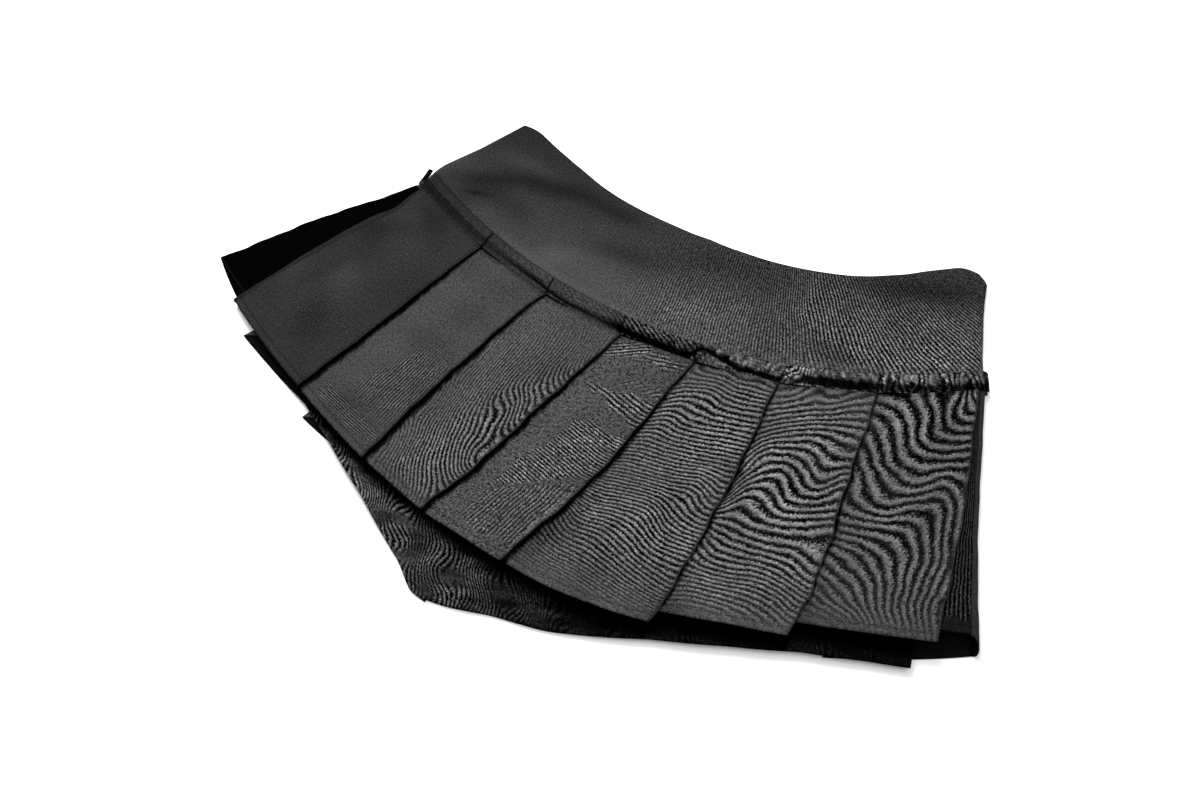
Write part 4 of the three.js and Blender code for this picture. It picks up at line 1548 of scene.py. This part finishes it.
@dataclass
class TapeTab:
    """A short end of tape, folded in two lengthwise, that lies along the band's left end and points at the waist."""

    root: tuple[float, float] = (-192.7, 100.2)
    tip: tuple[float, float] = (-192.3, 115.4)
    widths: tuple[float, float] = (3.6, 3.3)
    height: float = 3.7
    thickness: float = 0.5
    fold_radius: float = 0.45

    def sheet(self) -> Cloth:
        """The tab: a strip from its tip to its root, arched along its length and folded over at its left edge.

        Returns:
            The sheet.
        """
        root, tip = np.array(self.root), np.array(self.tip)
        out = (tip - root) / np.linalg.norm(tip - root)
        aside = np.array([out[1], -out[0]])
        t = np.linspace(0.0, 1.0, 24)[:, None, None]
        side = np.linspace(-1.0, 1.0, 25)[None, :, None]
        turn = np.clip(side / 0.25, -1.0, 1.0) * math.pi / 2.0
        layer = np.clip((np.abs(side) - 0.25) / 0.75, 0.0, 1.0)
        half = mix(self.widths[1], self.widths[0], t) / 2.0
        reach = self.fold_radius * (1.0 - np.cos(turn)) + (2.0 * half - self.fold_radius) * layer - half
        spot = mix(tip, root, t) + aside * (reach + 0.3 * np.sin(5.0 * t))
        rise = self.height + 0.6 * np.sin(math.pi * t) + 0.2 * np.sin(7.0 * t) + self.fold_radius * np.sin(turn)
        sheet = Cloth.plain(np.concatenate([spot, rise], axis=-1), self.thickness, 0.14)
        # painted highlight: the tab is much lighter towards its root
        sheet.tone = sheet.tone * mix(0.3, 3.5, smooth((t[..., 0] - 0.6) / 0.35))
        return sheet


@dataclass
class Skort:
    """The whole garment, piece by piece, with its two finishes."""

    skirt: Twill = Twill("black_skirt_twill", (0.034, 0.0342, 0.0357), stitch=4.8)
    shorts: Twill = Twill("black_shorts_twill", (0.022, 0.022, 0.0232), stitch=8.5)
    front: FrontPleats = field(
        default_factory=lambda: FrontPleats(
            (
                # each fold's tone is painted light and shade on its pleat
                Fold(-30.75, -30.0, 584.0, 584.0, bow=-0.36, nip=0.46, sway=0.4),
                Fold(-20.85, -21.05, 590.0, 589.5, 0.5, tone=0.43, fleck=0.2, sway=0.6),
                Fold(-12.2, -14.0, 599.6, 598.5, 1.0, belly=(-0.45, 0.6), tone=0.8, fleck=0.5, sway=0.9),
                Fold(-3.6, -8.7, 606.4, 605.8, 1.5, belly=(0.3, 1.6), tone=0.94, fleck=0.8, sway=1.3),
                Fold(4.0, -2.6, 612.0, 610.5, 2.5, belly=(0.68, 1.1), tone=0.98, fleck=1.5, sway=1.3),
                Fold(12.2, 7.1, 615.8, 606.0, 4.0, bulge=2.4, belly=(0.5, 1.4), fleck=0.8, sway=1.5),
                Fold(21.4, 15.4, 605.1, 594.0, 4.5, bulge=-0.8, belly=(0.35, 1.3), tone=1.1, fleck=0.8, sway=2.0),
                Fold(31.0, 24.1, 602.3, 592.5, 4.5, bulge=-0.6, bow=0.33, tone=0.82, fleck=0.7),
                Fold(31.75, 26.75, 597.0, 597.0, 3.0, bow=-0.15, tone=0.17, fleck=0.6, sway=0.5),
            ),
            # painted light and shade on the front pleats' faces
            painted_shades=(
                Swell(-168.0, 70.0, 26.0, 7.0, -42.0, -0.14),
                Swell(-198.0, 50.0, 22.0, 9.0, 10.0, -0.26),
                Swell(-216.0, 0.0, 26.0, 7.0, 60.0, -0.22),
                Swell(-200.0, -2.0, 15.0, 22.0, 30.0, 0.26),
                Swell(-240.0, -6.0, 14.0, 26.0, 30.0, 0.24),
                Swell(-163.0, 34.0, 12.0, 24.0, 0.0, 0.2),
                Swell(-215.0, -50.0, 40.0, 14.0, 62.0, -0.12),
                Swell(-141.0, -88.0, 40.0, 14.0, 70.0, -0.1),
                Swell(46.0, -132.0, 34.0, 16.0, 0.0, -0.12),
                Swell(-16.0, -56.0, 60.0, 6.0, 68.0, 0.24),
                Swell(18.0, -122.0, 36.0, 10.0, 69.5, -0.42),
                Swell(121.0, -32.0, 36.0, 7.0, 87.0, -0.26),
                Swell(109.0, -140.0, 18.0, 9.0, 80.0, -0.34),
                Swell(190.0, -112.0, 20.0, 8.0, 75.0, -0.18),
                Swell(224.0, 70.0, 56.0, 13.0, -72.0, -0.24),
            ),
            base=8.4,
            tone=1.0,
        )
    )
    back: BackPleats = field(
        default_factory=lambda: BackPleats(
            (
                Fold(-31.5, -26.7, 606.5, 606.5, sway=0.0),
                Fold(-21.5, -17.5, 611.0, 609.0),
                Fold(-12.5, -8.5, 609.5, 608.0),
                Fold(-3.5, 1.0, 608.0, 606.0),
                Fold(5.5, 10.5, 605.0, 603.0),
                Fold(14.5, 19.5, 601.5, 594.5),
                Fold(23.0, 27.4, 592.7, 582.9, bulge=-0.8),
                Fold(31.8, 34.15, 574.5, 574.5, depth=24.0, hem_depth=58.0, bow=0.28, bulge=1.0, tone=0.25),
            ),
            base=0.55,
            tone=0.11,
            under_tone=0.9,
            mirrored=True,
            inner_turn=0.7,
        )
    )

    def build(self) -> None:
        skirt, shorts = self.skirt.make(), self.shorts.make()
        yoke, band, legs, tab = Yoke(), Band(), Shorts(), TapeTab()
        yoke_flat, pleats_flat, left_flat, right_flat = (0.43, 0.15), (0.99, 0.21), (0.28, 0.27), (0.31, 0.27)
        front_legs = ["shorts_front_left", "shorts_front_right"]
        pieces = [
            ("yoke_back", yoke.back(), skirt, Slot.SKIRT, yoke_flat, []),
            ("band_back", band.back(), skirt, Slot.SKIRT, (0.46, 0.02), []),
            ("pleats_back", self.back.sheet(), skirt, Slot.SKIRT, pleats_flat, []),
            ("shorts_back_left", legs.sheet(True, False), shorts, Slot.SHORTS, left_flat, ["pleats_back"]),
            ("shorts_back_right", legs.sheet(False, False), shorts, Slot.SHORTS, right_flat, ["pleats_back"]),
            ("shorts_front_left", legs.sheet(True, True), shorts, Slot.SHORTS, left_flat, ["shorts_back_left"]),
            ("shorts_front_right", legs.sheet(False, True), shorts, Slot.SHORTS, right_flat, ["shorts_back_right"]),
            ("pleats_front", self.front.sheet(), skirt, Slot.SKIRT, pleats_flat, front_legs),
            ("yoke_front", yoke.front(), skirt, Slot.SKIRT, yoke_flat, ["yoke_back"]),
            ("band_front", band.front(), skirt, Slot.SKIRT, (0.47, 0.02), ["band_back"]),
            ("tape_tab", tab.sheet(), skirt, Slot.SKIRT, (0.016, 0.01), ["band_back"]),
        ]  # fmt: skip
        for piece in pieces:
            self.place(*piece)

    def place(
        self,
        node: str,
        sheet: Cloth,
        material: bpy.types.Material,
        slot: Slot,
        flat: tuple[float, float],
        rests_on: list[str],
    ) -> None:
        """Args:
            node: The node that the piece stands for.
            sheet: Its cloth.
            material: Its finish.
            slot: The record's slot. Not used.
            flat: The cut's width and length in metres.
            rests_on: The nodes that it lies on. Not used.
        """
        piece = sheet.make(f"{node}_cloth")
        piece.data.materials.append(material)
        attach(piece, "root")
        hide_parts(node)
        area = sheet.area()
        min(area, flat[0] * flat[1])
        LOG.info("%s: %d faces, %.4f m2 of cloth", piece.name, len(piece.data.polygons), area)


@dataclass
class Studio:
    """The plain pale floor, the soft lights and the camera."""

    target: tuple[float, float, float] = (0.0057, -0.0121, 0.0)
    distance: float = 1.0
    azimuth: float = 24.2
    elevation: float = 60.6
    lens: float = 43.2

    def build(self) -> None:
        """Makes the floor, the lights, the background light and the camera."""
        self.floor()
        self.light("key", (-1.05, 1.0, 1.7), 1.1, 78.0)
        self.light("fill", (0.3, -0.2, 2.4), 2.4, 50.0)
        world = bpy.data.worlds.new("soft_room")
        world.use_nodes = True
        world.node_tree.nodes["Background"].inputs["Color"].default_value = (1.0, 1.0, 1.0, 1.0)
        world.node_tree.nodes["Background"].inputs["Strength"].default_value = 0.3
        scene = bpy.context.scene
        scene.world = world
        scene.view_settings.view_transform = "Standard"
        self.camera()

    def floor(self) -> None:
        """A wide pale floor just under the garment."""
        mesh = bpy.data.meshes.new("floor")
        size = 6.0
        corners = [(-size, -size, -0.0002), (size, -size, -0.0002), (size, size, -0.0002), (-size, size, -0.0002)]
        mesh.from_pydata(corners, [], [(0, 1, 2, 3)])
        floor = bpy.data.objects.new("floor", mesh)
        bpy.context.scene.collection.objects.link(floor)
        g = Graph("pale_floor")
        skin = g.add("ShaderNodeBsdfPrincipled", {}, {"Base Color": (0.9, 0.9, 0.9, 1.0), "Roughness": 0.95})
        g.add("ShaderNodeOutputMaterial", {}, {"Surface": skin.outputs[0]})
        mesh.materials.append(g.material)

    def light(self, name: str, place: tuple[float, float, float], size: float, power: float) -> None:
        """A square soft light that looks at the garment.

        Args:
            name: Its name.
            place: Where it stands, in metres.
            size: Its side in metres.
            power: Its power in watts.
        """
        data = bpy.data.lights.new(name, "AREA")
        data.shape, data.size, data.energy = "SQUARE", size, power
        lamp = bpy.data.objects.new(name, data)
        lamp.location = place
        lamp.rotation_euler = (-Vector(place)).to_track_quat("-Z", "Y").to_euler()
        bpy.context.scene.collection.objects.link(lamp)

    def camera(self) -> None:
        """The camera, which looks down on the front from the hem's right."""
        a, e = math.radians(self.azimuth), math.radians(self.elevation)
        back = Vector((math.sin(a) * math.cos(e), -math.cos(a) * math.cos(e), math.sin(e)))
        data = bpy.data.cameras.new("camera")
        data.lens, data.sensor_width = self.lens, 36.0
        camera = bpy.data.objects.new("camera", data)
        camera.location = Vector(self.target) + back * self.distance
        camera.rotation_euler = (-back).to_track_quat("-Z", "Y").to_euler()
        bpy.context.scene.collection.objects.link(camera)
        bpy.context.scene.camera = camera


def corners(box: tuple[Vector, Vector]) -> list[list[float]]:
    """A box's two corners as plain lists of numbers."""
    return [[float(value) for value in corner] for corner in box]


def main() -> None:
    """Loads the frame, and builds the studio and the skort."""
    logging.basicConfig(level=logging.INFO, format="%(name)s: %(message)s")
    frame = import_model()
    LOG.info("the frame has %d nodes", len(frame["nodes"]))
    Studio().build()
    Skort().build()


if __name__ == "__main__":
    main()
